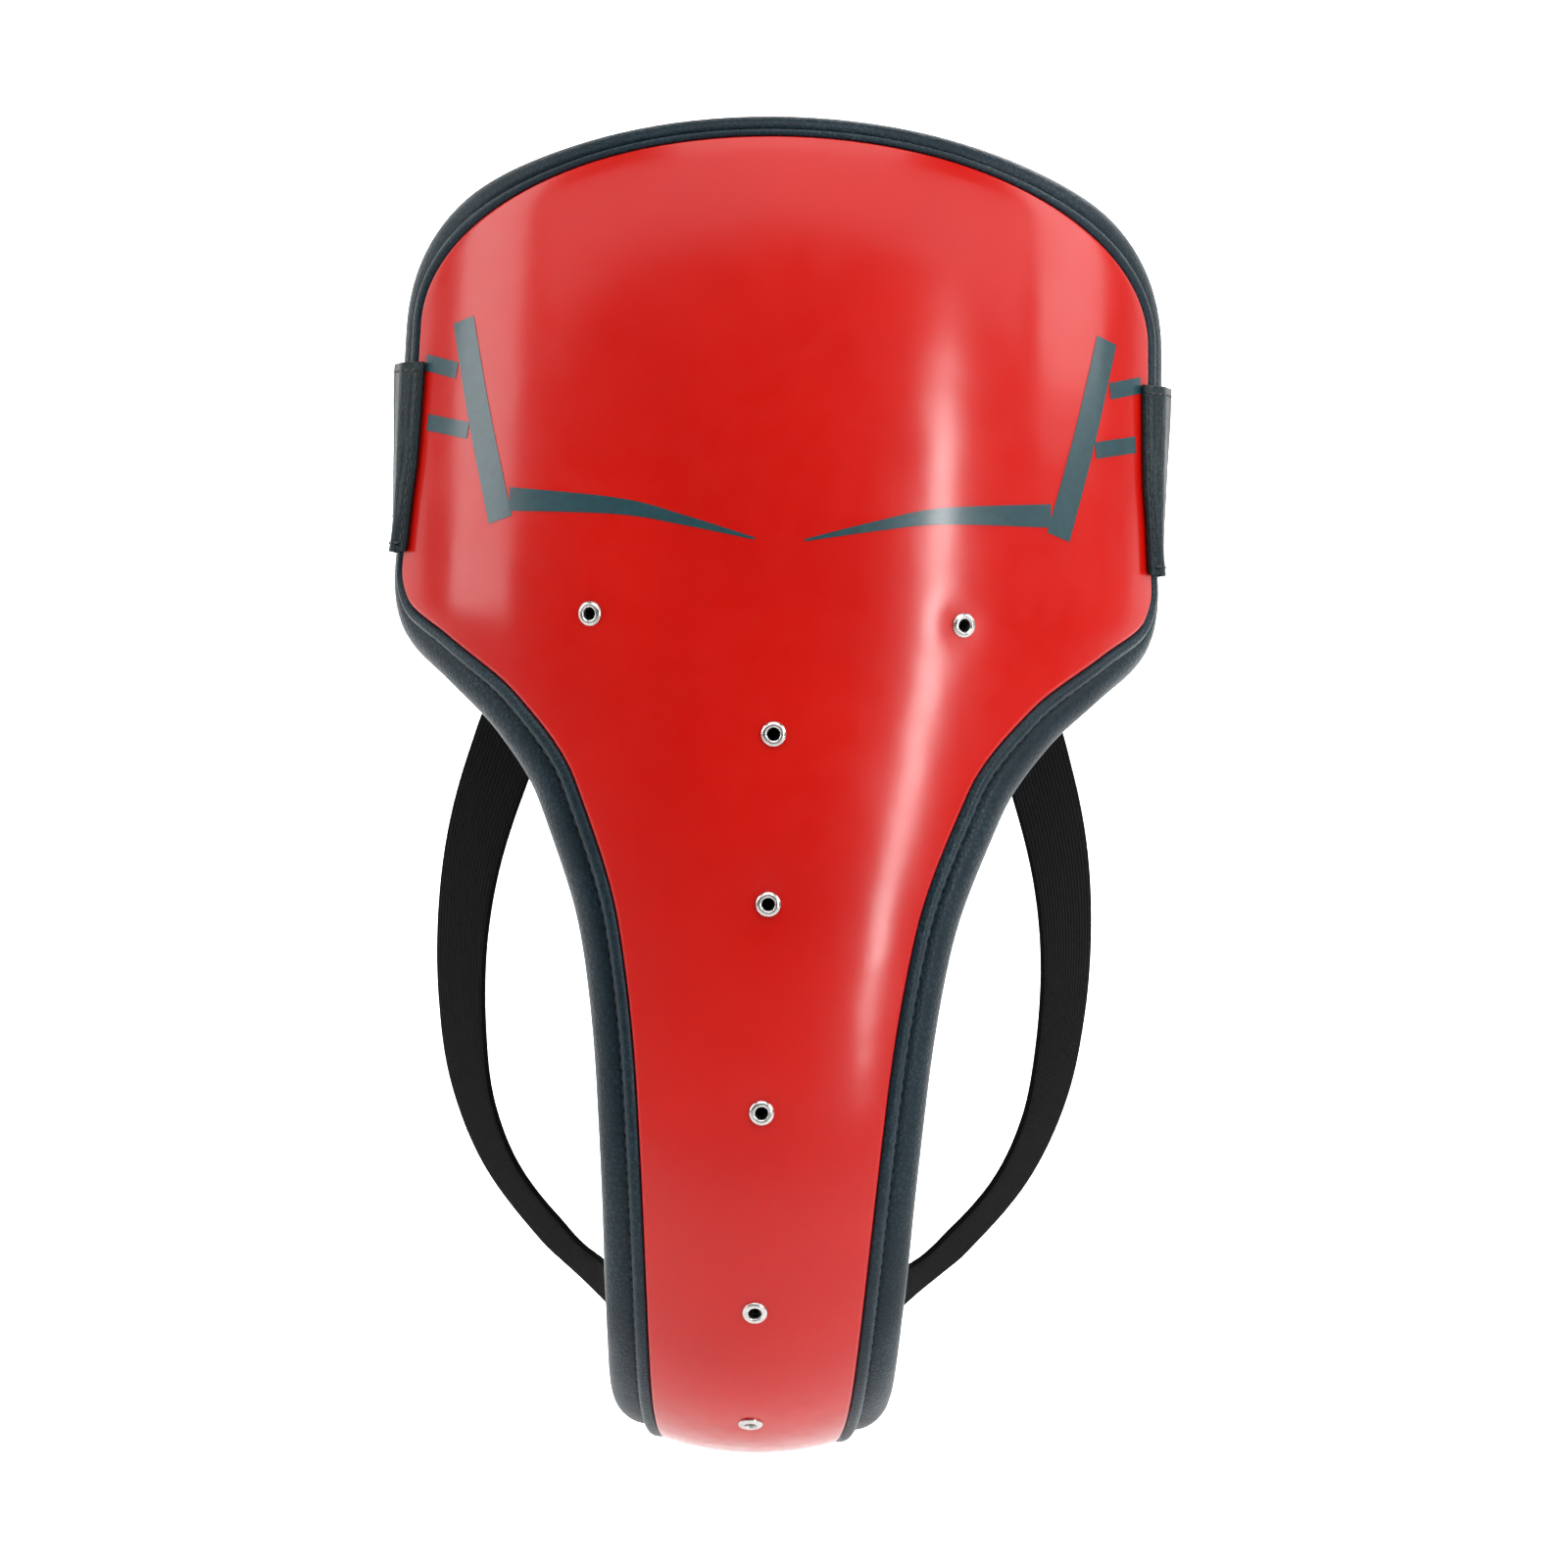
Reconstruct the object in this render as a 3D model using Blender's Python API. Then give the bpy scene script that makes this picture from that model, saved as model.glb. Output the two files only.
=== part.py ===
"""Groin protector with a waist belt and two leg straps, as a bench-stripped assembly.

Blender 4.5, metres, +Z up. The wearer faces -Y, and +X is to the right as seen from the front.
The origin is the centre of the wearer's waist: mid height of the belt, in the plane of symmetry.

The guard is a stack of layers on one curved reference surface, the front face of the rigid plate:
red cover, plate, foam, dark pad cover. A place on that surface is (station, angle): the station is
the distance down the centre line from the top, and the angle is the one round the cross section.
A place on the rim is (out, deep): how far past the plate's edge, and how far behind its front face.
"""

import math

import bmesh
import bpy
import numpy as np
from mathutils import Matrix, Vector
from mathutils.bvhtree import BVHTree

# Centre line, from the top of the plate to the tip between the legs.
SPINE_LENGTH = 0.431
SPINE_TOP_Z = 0.084
PLATE_FRONT_Y = -0.1034
TILT = ((0.0, -20), (0.022, -9), (0.080, -4), (0.170, 0), (0.248, 4), (0.262, 9), (0.431, 107))
SPINE_STEPS = 900
SPINE_SPARE = 0.03

# Cross section: half an ellipse, whose sides run towards the wearer.
HALF_SPAN = (
    (0.0, 0.111), (0.120, 0.111), (0.169, 0.097), (0.207, 0.081), (0.252, 0.071), (0.431, 0.052),
)
HALF_DEPTH = (
    (0.0, 0.096), (0.120, 0.096), (0.169, 0.088), (0.207, 0.076), (0.252, 0.068), (0.340, 0.058),
    (0.400, 0.038), (0.431, 0.030),
)

# Outline of the plate: the angle at its edge, from the shoulder to the side of the tip.
EDGE_ANGLE = (
    (0.050, 58.9), (0.100, 60.5), (0.115, 62.1), (0.122, 60.3), (0.131, 51.2), (0.146, 39.1),
    (0.169, 30.8), (0.207, 27.2), (0.252, 25.8), (0.312, 25.0), (0.354, 24.8), (0.392, 23.4),
    (0.410, 20.3), (0.422, 14.5),
)
SHOULDER = 0.050
TIP_SIDE = 0.422
TOP_RISE_ENDS = 0.170
TIP_RISE_STARTS = 0.380
OUTLINE_POWER = 2.0

# Grid of the layers. Rows crowd together where the outline turns, at (station, reach, crowding).
ROWS = 25
HALF_COLUMNS = 6
CROWDS = ((0.122, 0.020, 2.2), (0.422, 0.030, 1.9))

# Layers, as depths behind the plate's front face.
SKIN_GAP = 0.0003
COVER_FRONT = -0.0016
PLATE_BACK = 0.0030
FOAM_FRONT = PLATE_BACK + SKIN_GAP
FOAM_BACK = 0.0145
PAD_COVER_IN = 0.0148
PAD_COVER_OUT = 0.0160

# The rim's reach past the plate, as a share of its full width, by station.
RIM_SHARE = (
    (0.0, 0.55), (0.010, 0.60), (0.028, 0.88), (0.045, 1.0), (0.062, 0.98), (0.085, 0.84),
    (0.105, 0.72), (0.125, 0.90), (0.150, 1.04), (0.172, 1.06), (0.215, 1.0), (0.370, 1.04),
    (0.431, 1.0),
)

# Rim profiles, (out, deep) in millimetres at the rim's full width.
COVER_EDGE = ((0.6, -1.6), (1.1, -1.2), (1.1, -0.5))
FOAM_EDGE = ((8.4, 3.2), (11.6, 2.6), (14.4, 5.1), (15.0, 9.6), (11.7, 12.8), (5.0, 14.4))
BINDING_CENTRE = (4.6, 0.2)
BINDING_SEMI = (2.6, 2.6)
BINDING_SIDES = 7
PAD_COVER_EDGE = (
    (5.0, 15.9), (12.6, 14.4), (16.9, 10.3), (16.3, 4.2), (12.3, 0.8), (8.5, 0.6),
    (8.3, 1.7), (12.0, 2.0), (15.0, 4.8), (15.6, 9.9), (12.0, 13.3), (5.0, 14.7),
)
MILLIMETRE = 0.001

# Tubular rivets, by (station, x).
RIVETS = ((0.126, -0.048), (0.126, 0.048), (0.156, 0), (0.200, 0), (0.254, 0), (0.310, 0), (0.357, 0))
RIVET_SIDES = 14
RIVET_HOLE_R = 0.0022
SEAT_SEARCH = 0.004
RIVET_FOOT = 0.003
THROUGH_DEPTHS = (-0.0040, 0.0042)
SEAT_R = 0.0044
SEAT_DEPTHS = (0.00305, 0.0060)
POCKET_R = 0.0048
POCKET_DEPTHS = (0.0020, 0.0056)
# Turned profiles, (radius, depth) in millimetres.
RIVET_PROFILE = (
    (3.3, -1.9), (3.1, -2.5), (2.3, -2.75), (1.2, -2.0),
    (1.2, 4.9), (2.6, 4.9), (1.8, 4.4), (1.8, -1.9),
)
WASHER_PROFILE = ((2.15, 3.35), (4.0, 3.35), (4.0, 4.05), (2.15, 4.05))

# Waist belt: one half from each wing. The left half's closure tab laps over the right half.
BELT_HEIGHT = 0.050
BELT_THICK = 0.0020
BELT_HALF_SPAN = 0.1022
BELT_HINGE_Y = -0.036
BELT_TURN_Y = 0.040
BELT_BACK_REACH = 0.066
BELT_SWING_GAP = 0.0009
TAB_THICK = 0.0018
TAPE_THICK = 0.0012
TAPE_GAP = 0.0004
LAP_OFFSET = BELT_THICK / 2 + TAPE_THICK * 2 + TAPE_GAP + SKIN_GAP * 2 + TAB_THICK / 2
LAP_RAMP_X = (-0.050, -0.014)
PEEL_X = -0.010
TAB_END_X = 0.050
TAB_TIP_ROUND = 0.010
INNER_HALF_END_X = 0.003
LOOP_TAPE_X = (0.008, 0.056)
HOOK_TAPE_X = (0.011, 0.044)
TAPE_HEIGHT = 0.042
ELLIPSE_STEPS = 18

# Side tabs: the dark pieces sewn over the wings, which the belt's halves carry on from.
SIDE_TAB_FRONT = ((-0.025, 60.4), (-0.0115, 59.3), (0.0, 58.2), (0.025, 57.2))
SIDE_TAB_THICK = 0.0016
SIDE_TAB_LIFT = 0.0024
SIDE_TAB_ROWS = 7
SIDE_TAB_EDGE = 0.0003

# Leg straps, drawn for the left side (x below 0) and mirrored for the right.
STRAP_WIDTH = 0.020
STRAP_THICK = 0.0018
STRAP_TOP_PATCH = ((0.101, 0.044), (0.125, 0.049))
STRAP_TIP_PATCH = ((0.379, 0.0085), (0.391, 0.0160))
PATCH_GAP = 0.0005
STRAP_ROUTE = (
    (-0.0655, -0.0500, -0.0640), (-0.0735, -0.0340, -0.0830), (-0.0795, -0.0150, -0.1040),
    (-0.0825, 0.0040, -0.1260), (-0.0825, 0.0220, -0.1490), (-0.0795, 0.0380, -0.1715),
    (-0.0710, 0.0480, -0.1925), (-0.0560, 0.0500, -0.2110), (-0.0390, 0.0405, -0.2255),
)
STRAP_WIDTH_KNOTS = ((0.42, (0.67, -0.52, -0.52)), (0.72, (0.45, -0.885, 0.09)))
STRAP_STEPS = 36
STRAP_END_GAP = 0.0040
STRAP_END_LIFT = 0.0055

COLOURS = {
    "cover_leather": ((0.62, 0.015, 0.008), 0.22, 0.0),
    "rigid_plate": ((0.03, 0.03, 0.032), 0.45, 0.0),
    "foam": ((0.16, 0.16, 0.17), 0.95, 0.0),
    "pad_leather": ((0.022, 0.045, 0.055), 0.40, 0.0),
    "binding_tape": ((0.020, 0.042, 0.052), 0.42, 0.0),
    "rivet_steel": ((0.62, 0.62, 0.60), 0.28, 1.0),
    "belt_elastic": ((0.030, 0.045, 0.050), 0.80, 0.0),
    "strap_elastic": ((0.018, 0.018, 0.018), 0.85, 0.0),
    "hook_and_loop": ((0.012, 0.012, 0.013), 0.95, 0.0),
}


def smooth(knots, at):
    """The value at a place on a monotone cubic curve through (place, value) knots, flat past its ends."""
    place, value = np.array(knots, float).T
    step = np.diff(place)
    slope = np.diff(value) / step
    tangent = np.concatenate([[slope[0]], np.zeros(len(slope) - 1), [slope[-1]]])
    for i in range(1, len(slope)):
        if slope[i - 1] * slope[i] > 0:
            tangent[i] = 2 * slope[i - 1] * slope[i] / (slope[i - 1] + slope[i])
    at = min(max(at, place[0]), place[-1])
    i = min(max(int(np.searchsorted(place, at)) - 1, 0), len(step) - 1)
    t = (at - place[i]) / step[i]
    start = (1 + 2 * t) * (1 - t) ** 2 * value[i] + t * (1 - t) ** 2 * step[i] * tangent[i]
    end = t * t * (3 - 2 * t) * value[i + 1] + t * t * (t - 1) * step[i] * tangent[i + 1]
    return start + end


def ease(low, high, at):
    """0 below low, 1 above high, and a smooth step between."""
    t = min(max((at - low) / (high - low), 0.0), 1.0)
    return t * t * (3 - 2 * t)


def walk_spine():
    """Stations with the centre line's y, z and tilt there, with spare length past both ends."""
    stations = np.linspace(-SPINE_SPARE, SPINE_LENGTH + SPINE_SPARE, SPINE_STEPS)
    tilts = np.radians([smooth(TILT, s) for s in stations])
    step = stations[1] - stations[0]
    middle = (tilts[1:] + tilts[:-1]) / 2
    y = np.concatenate([[0], np.cumsum(np.sin(middle) * step)])
    z = np.concatenate([[0], np.cumsum(-np.cos(middle) * step)])
    y += PLATE_FRONT_Y - y.min()
    z += SPINE_TOP_Z - np.interp(0.0, stations, z)
    return stations, y, z, tilts


SPINE = walk_spine()


def surface_point(station, angle):
    """The point of the reference surface at a station and an angle in radians."""
    stations, ys, zs, tilts = SPINE
    y, z, tilt = (np.interp(station, stations, values) for values in (ys, zs, tilts))
    lean = max(tilt, 0.0)
    depth = smooth(HALF_DEPTH, station) * (1 - math.cos(angle))
    x = smooth(HALF_SPAN, station) * math.sin(angle)
    return Vector((x, y + depth * math.cos(lean), z + depth * math.sin(lean)))


def surface_normal(station, angle):
    """The unit normal there, pointing away from the wearer."""
    h = 1e-3
    down = surface_point(station + h, angle) - surface_point(station - h, angle)
    round_ = surface_point(station, angle + h) - surface_point(station, angle - h)
    return down.cross(round_).normalized()


def on_surface(station, angle, deep):
    return surface_point(station, angle) - surface_normal(station, angle) * deep


def row_stations():
    """Stations of the grid's rows at the plate's edge."""
    fine = np.linspace(SHOULDER, TIP_SIDE, 600)
    density = 1 + sum(crowding * np.exp(-(((fine - at) / reach) ** 2)) for at, reach, crowding in CROWDS)
    total = np.concatenate([[0], np.cumsum((density[1:] + density[:-1]) / 2)])
    return np.interp(np.linspace(0, total[-1], ROWS + 1), total, fine)


def plate_grid():
    """Rows of (station, angle) places over the plate, from the top down and from left to right."""
    rows = []
    for edge in row_stations():
        reach = math.radians(smooth(EDGE_ANGLE, edge))
        rise = -SHOULDER * (1 - ease(SHOULDER, TOP_RISE_ENDS, edge))
        rise += (SPINE_LENGTH - TIP_SIDE) * ease(TIP_RISE_STARTS, TIP_SIDE, edge)
        row = []
        for column in range(-HALF_COLUMNS, HALF_COLUMNS + 1):
            angle = reach * math.sin(math.pi / 2 * column / HALF_COLUMNS)
            share = min(abs(math.sin(angle) / math.sin(reach)), 1.0)
            bow = (1 - share**OUTLINE_POWER) ** (1 / OUTLINE_POWER)
            row.append((edge + rise * bow, angle))
        rows.append(row)
    return rows


GRID = plate_grid()


def edge_walk(rows, columns):
    """Indices (row, column) round a grid's edge: along the top, down the right, back and up the left."""
    walk = [(0, j) for j in range(columns)]
    walk += [(i, columns - 1) for i in range(1, rows)]
    walk += [(rows - 1, j) for j in range(columns - 2, -1, -1)]
    walk += [(i, 0) for i in range(rows - 2, 0, -1)]
    return walk


def rim_frames():
    """At each place round the plate's edge: the point, the outward direction, the normal and the rim's share."""
    walk = [GRID[i][j] for i, j in edge_walk(len(GRID), len(GRID[0]))]
    points = [surface_point(*place) for place in walk]
    frames = []
    for k, place in enumerate(walk):
        before = (points[k] - points[k - 1]).normalized()
        after = (points[(k + 1) % len(walk)] - points[k]).normalized()
        normal = surface_normal(*place)
        out = normal.cross(before + after).normalized()
        frames.append((points[k], out, normal, smooth(RIM_SHARE, place[0])))
    return frames


RIM = rim_frames()


def grid_at(deep):
    return [[on_surface(station, angle, deep) for station, angle in row] for row in GRID]


def rim_loop(out_mm, deep_mm):
    """The closed loop that runs round the plate's edge at one place of a rim profile."""
    loop = []
    for point, out, normal, share in RIM:
        loop.append(point + out * (out_mm * share * MILLIMETRE) - normal * (deep_mm * MILLIMETRE))
    return loop


def material(name):
    made = bpy.data.materials.get(name)
    if made is None:
        colour, roughness, metallic = COLOURS[name]
        made = bpy.data.materials.new(name)
        made.use_nodes = True
        shader = made.node_tree.nodes["Principled BSDF"]
        shader.inputs["Base Color"].default_value = (*colour, 1)
        shader.inputs["Roughness"].default_value = roughness
        shader.inputs["Metallic"].default_value = metallic
        made.diffuse_color = (*colour, 1)
    return made


def add_mesh(name, points, faces, material_name, sharp_from=50, parent=None):
    """An object with a closed, outward-facing mesh. The points are world ones, whatever its parent."""
    mesh = bpy.data.meshes.new(name)
    mesh.from_pydata([tuple(p) for p in points], [], faces)
    work = bmesh.new()
    work.from_mesh(mesh)
    bmesh.ops.remove_doubles(work, verts=work.verts, dist=1e-6)
    bmesh.ops.recalc_face_normals(work, faces=work.faces)
    work.to_mesh(mesh)
    work.free()
    mesh.materials.append(material(material_name))
    mesh.shade_smooth()
    mesh.set_sharp_from_angle(angle=math.radians(sharp_from))
    made = bpy.data.objects.new(name, mesh)
    bpy.context.scene.collection.objects.link(made)
    if parent is not None:
        mesh.transform(Matrix.Translation(-parent.location))
        made.parent = parent
    return made


def closed_skin(name, first, loops, second, material_name, **options):
    """A solid between two grids of points of one shape, joined round their edges through the loops.

    Its quads are split the same way on every layer, so neighbouring layers stay parallel.
    """
    rows, columns = len(first), len(first[0])
    walk = edge_walk(rows, columns)
    points, faces, rings = [], [], []
    for grid in (first, second):
        base = len(points)
        points += [p for row in grid for p in row]
        for i in range(rows - 1):
            for j in range(columns - 1):
                a = base + i * columns + j
                b, c, d = a + 1, a + columns + 1, a + columns
                if j < (columns - 1) / 2:
                    faces += [(a, b, c), (a, c, d)]
                else:
                    faces += [(a, b, d), (b, c, d)]
        rings.append([base + i * columns + j for i, j in walk])
    for loop in loops:
        rings.insert(-1, list(range(len(points), len(points) + len(loop))))
        points += loop
    for near, far in zip(rings, rings[1:]):
        for k in range(len(walk)):
            n = (k + 1) % len(walk)
            faces += [(near[k], near[n], far[n]), (near[k], far[n], far[k])]
    return add_mesh(name, points, faces, material_name, **options)


def ribbon(name, centres, widths, normals, thickness, material_name, **options):
    """A flat band along centres. widths and normals are its full width and its unit normal at each one."""
    outer, inner = [], []
    for centre, width, normal in zip(centres, widths, normals):
        for side, rows in ((0.5, outer), (-0.5, inner)):
            face = centre + normal * (thickness * side)
            rows.append([face - width / 2, face + width / 2])
    return closed_skin(name, outer, [], inner, material_name, **options)


def turned(name, profile, material_name, sides=RIVET_SIDES):
    """A ring turned about its local Z from a closed (radius, height) profile in millimetres."""
    points, faces = [], []
    for k in range(sides):
        turn = 2 * math.pi * k / sides
        for radius, height in profile:
            points.append(Vector((radius * math.cos(turn), radius * math.sin(turn), height)) * MILLIMETRE)
    count = len(profile)
    for k in range(sides):
        for i in range(count):
            a, b = k * count, (k + 1) % sides * count
            n = (i + 1) % count
            faces.append((a + i, b + i, b + n, a + n))
    return add_mesh(name, points, faces, material_name, sharp_from=35)


def surface_tree(made):
    """A search tree over an object's faces, to seat other pieces on them."""
    return BVHTree.FromPolygons([v.co for v in made.data.vertices], [p.vertices for p in made.data.polygons])


def seat(tree, station, x, deep):
    """The point of a piece's face near this place and depth, and the way into the piece there."""
    side = 1 if deep > 0 else -1
    angle = math.asin(x / (smooth(HALF_SPAN, station) - deep))
    way = surface_normal(station, angle) * side
    return tree.ray_cast(on_surface(station, angle, deep + side * SEAT_SEARCH), way)[0], way


def rivet_place(tree, station, x):
    """A rivet's point on the plate's front face, and the way square into the plate under its head."""
    above, below = (seat(tree, station + step, x, 0.0)[0] for step in (-RIVET_FOOT, RIVET_FOOT))
    left, right = (seat(tree, station, x + step, 0.0)[0] for step in (-RIVET_FOOT, RIVET_FOOT))
    return seat(tree, station, x, 0.0)[0], (right - left).cross(below - above).normalized()


def add_drill(name, places, radius, depths):
    """A cutter with one cylinder at each rivet, between two depths behind the plate's front face."""
    work = bmesh.new()
    for point, inward in places:
        turn = inward.to_track_quat("Z", "Y").to_matrix().to_4x4()
        place = Matrix.Translation(point + inward * (sum(depths) / 2)) @ turn
        bmesh.ops.create_cone(
            work, cap_ends=True, segments=RIVET_SIDES, radius1=radius, radius2=radius,
            depth=depths[1] - depths[0], matrix=place,
        )
    mesh = bpy.data.meshes.new(name)
    work.to_mesh(mesh)
    work.free()
    made = bpy.data.objects.new(name, mesh)
    bpy.context.scene.collection.objects.link(made)
    made.hide_render = True
    made.display_type = "WIRE"
    return made


def cut(target, cutter):
    modifier = target.modifiers.new("Holes", "BOOLEAN")
    modifier.operation = "DIFFERENCE"
    modifier.solver = "EXACT"
    modifier.object = cutter


def build_guard():
    """The layers of the shield, drilled for its rivets, and the binding round its edge. Returns the pad's cover."""
    plate = closed_skin("rigid_plate", grid_at(0), [], grid_at(PLATE_BACK), "rigid_plate")
    cover = closed_skin(
        "cover", grid_at(COVER_FRONT), [rim_loop(*p) for p in COVER_EDGE], grid_at(-SKIN_GAP), "cover_leather"
    )
    foam = closed_skin(
        "foam_pad", grid_at(FOAM_FRONT), [rim_loop(*p) for p in FOAM_EDGE], grid_at(FOAM_BACK), "foam"
    )
    pad_cover = closed_skin(
        "pad_cover", grid_at(PAD_COVER_OUT), [rim_loop(*p) for p in PAD_COVER_EDGE], grid_at(PAD_COVER_IN), "pad_leather"
    )
    build_binding()
    plate_tree = surface_tree(plate)
    places = [rivet_place(plate_tree, station, x) for station, x in RIVETS]
    through = add_drill("through_holes", places, RIVET_HOLE_R, THROUGH_DEPTHS)
    cut(cover, through)
    cut(plate, through)
    cut(plate, add_drill("washer_seats", places, SEAT_R, SEAT_DEPTHS))
    cut(foam, add_drill("washer_pockets", places, POCKET_R, POCKET_DEPTHS))
    build_rivets(places)
    return pad_cover


def build_binding():
    """The piped tape that hides the seam between the cover and the pad, as one closed bead."""
    loops = []
    for k in range(BINDING_SIDES):
        turn = 2 * math.pi * k / BINDING_SIDES
        out = BINDING_CENTRE[0] + BINDING_SEMI[0] * math.cos(turn)
        deep = BINDING_CENTRE[1] + BINDING_SEMI[1] * math.sin(turn)
        loops.append(rim_loop(out, deep))
    count = len(loops[0])
    faces = []
    for k in range(BINDING_SIDES):
        n = (k + 1) % BINDING_SIDES
        for i in range(count):
            j = (i + 1) % count
            a, b, c, d = k * count + i, k * count + j, n * count + j, n * count + i
            faces += [(a, b, c), (a, c, d)]
    add_mesh("edge_binding", [p for loop in loops for p in loop], faces, "binding_tape")


def build_rivets(places):
    """A tubular rivet from the front of the cover, and its washer behind the plate, at each place."""
    for number, (point, inward) in enumerate(places, 1):
        for name, profile in (("rivet", RIVET_PROFILE), ("rivet_washer", WASHER_PROFILE)):
            piece = turned(f"{name}_{number}", profile, "rivet_steel")
            piece.location = point
            piece.rotation_mode = "QUATERNION"
            piece.rotation_quaternion = inward.to_track_quat("Z", "Y")


def add_hinge(name, place):
    """An empty on a joint's axis, for the pieces that turn about it."""
    hinge = bpy.data.objects.new(name, None)
    hinge.location = place
    bpy.context.scene.collection.objects.link(hinge)
    return hinge


def side_tab(side, name):
    """The tab sewn over a wing: it lies on the cover, crosses the rim and ends at the belt's hinge."""
    rows_out, rows_in = [], []
    hinge_end = Vector((side * BELT_HALF_SPAN, BELT_HINGE_Y - BELT_SWING_GAP, 0))
    for k in range(SIDE_TAB_ROWS):
        level = BELT_HEIGHT * (0.5 - k / (SIDE_TAB_ROWS - 1))
        station = SPINE_TOP_Z - level
        edge = math.radians(smooth(EDGE_ANGLE, station))
        start = math.radians(smooth(SIDE_TAB_FRONT, level))
        share = smooth(RIM_SHARE, station)
        places = []
        for t in (0.0, 0.35, 0.7, 1.0):
            angle = side * (start + (edge - start) * t)
            normal = surface_normal(station, angle)
            places.append((surface_point(station, angle) + normal * SIDE_TAB_LIFT, normal))
        edge_point, edge_normal = surface_point(station, side * edge), surface_normal(station, side * edge)
        out = Vector((0, 0, side)).cross(edge_normal).normalized()
        for out_mm, lift_mm in ((BINDING_CENTRE[0], 2.9), (10.5, 0.6), (14.5, -0.9)):
            point = edge_point + out * (out_mm * share * MILLIMETRE) + edge_normal * (lift_mm * MILLIMETRE)
            places.append((point, edge_normal))
        places.append((hinge_end - Vector((0, 0.004, 0)), Vector((side, 0, 0))))
        places.append((hinge_end, Vector((side, 0, 0))))
        outer, inner = [], []
        for index, (point, normal) in enumerate(places):
            at = point.copy()
            at.z = level
            near = -0.5 if index >= len(places) - 2 else 0.0
            inner.append(at + normal * (SIDE_TAB_THICK * near))
            outer.append(at + normal * (SIDE_TAB_THICK * (near + 1)))
        rows_out.append(outer)
        rows_in.append(inner)
    middle = [(rows_out[i][j] + rows_in[i][j]) / 2 for i, j in edge_walk(SIDE_TAB_ROWS, len(rows_out[0]))]
    centre = sum(middle, Vector()) / len(middle)
    swelled = [point + (point - centre).normalized() * SIDE_TAB_EDGE for point in middle]
    closed_skin(name, rows_out, [swelled], rows_in, "binding_tape")


def belt_point(side, turn, offset=0.0):
    """A point of the belt's back curve and its outward normal. turn is 0 at the side and 90 at the back."""
    t = math.radians(turn)
    normal = Vector((side * math.cos(t) / BELT_HALF_SPAN, math.sin(t) / BELT_BACK_REACH, 0)).normalized()
    x = side * BELT_HALF_SPAN * math.cos(t)
    y = BELT_TURN_Y + BELT_BACK_REACH * math.sin(t)
    return Vector((x, y, 0)) + normal * offset, normal


def turn_at(side, x):
    """The turn at which the back curve reaches this x, counted from that side."""
    return math.degrees(math.acos(side * x / BELT_HALF_SPAN))


def lap_offset(x):
    """How far outside the right half the left one runs, from where it starts to rise to the tab."""
    return LAP_OFFSET * ease(LAP_RAMP_X[0], LAP_RAMP_X[1], x)


def belt_stretch(name, side, end_x, parent, laps):
    """One half of the elastic, from its hinge on the wing to end_x at the back."""
    hinge_y = BELT_HINGE_Y + BELT_SWING_GAP
    centres, normals = [], []
    for y in np.linspace(hinge_y, BELT_TURN_Y, 5)[:-1]:
        centres.append(Vector((side * BELT_HALF_SPAN, y, 0)))
        normals.append(Vector((side, 0, 0)))
    for turn in np.linspace(0, turn_at(side, end_x), ELLIPSE_STEPS):
        x = side * BELT_HALF_SPAN * math.cos(math.radians(turn))
        point, normal = belt_point(side, turn, lap_offset(x) if laps else 0.0)
        centres.append(point)
        normals.append(normal)
    widths = [Vector((0, 0, BELT_HEIGHT))] * len(centres)
    ribbon(name, centres, widths, normals, BELT_THICK, "belt_elastic", parent=parent)


def back_strip(name, span, height, thickness, offset, material_name, parent, steps=8, round_end=0.0):
    """A strip that follows the back curve between two x places, at an offset from the belt's middle."""
    centres, widths, normals = [], [], []
    for x in np.linspace(*span, steps):
        point, normal = belt_point(1, turn_at(1, x), offset)
        left = max(span[1] - x, 0.0)
        trim = round_end - math.sqrt(max(round_end**2 - max(round_end - left, 0.0) ** 2, 0.0))
        centres.append(point)
        normals.append(normal)
        widths.append(Vector((0, 0, height - 2 * trim)))
    ribbon(name, centres, widths, normals, thickness, material_name, parent=parent)


def build_belt():
    """Both halves of the waist belt with the closure at the back, on the hinges that they swing about."""
    hinges = {
        side: add_hinge(f"belt_hinge_{name}", (side * BELT_HALF_SPAN, BELT_HINGE_Y, 0))
        for side, name in ((-1, "left"), (1, "right"))
    }
    side_tab(-1, "side_tab_left")
    side_tab(1, "side_tab_right")
    belt_stretch("belt_left", -1, PEEL_X - BELT_SWING_GAP, hinges[-1], laps=True)
    belt_stretch("belt_right", 1, INNER_HALF_END_X, hinges[1], laps=False)

    peel_point, _ = belt_point(1, turn_at(1, PEEL_X), LAP_OFFSET)
    peel_hinge = add_hinge("tab_peel_hinge", peel_point)
    back_strip(
        "closure_tab", (PEEL_X + BELT_SWING_GAP, TAB_END_X), BELT_HEIGHT, TAB_THICK, LAP_OFFSET,
        "pad_leather", peel_hinge, steps=12, round_end=TAB_TIP_ROUND,
    )
    loop_offset = BELT_THICK / 2 + SKIN_GAP + TAPE_THICK / 2
    hook_offset = loop_offset + TAPE_THICK + TAPE_GAP
    back_strip("loop_tape", LOOP_TAPE_X, TAPE_HEIGHT, TAPE_THICK, loop_offset, "hook_and_loop", hinges[1])
    back_strip(
        "hook_tape", HOOK_TAPE_X, TAPE_HEIGHT, TAPE_THICK, hook_offset, "hook_and_loop", peel_hinge, steps=7
    )


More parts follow.
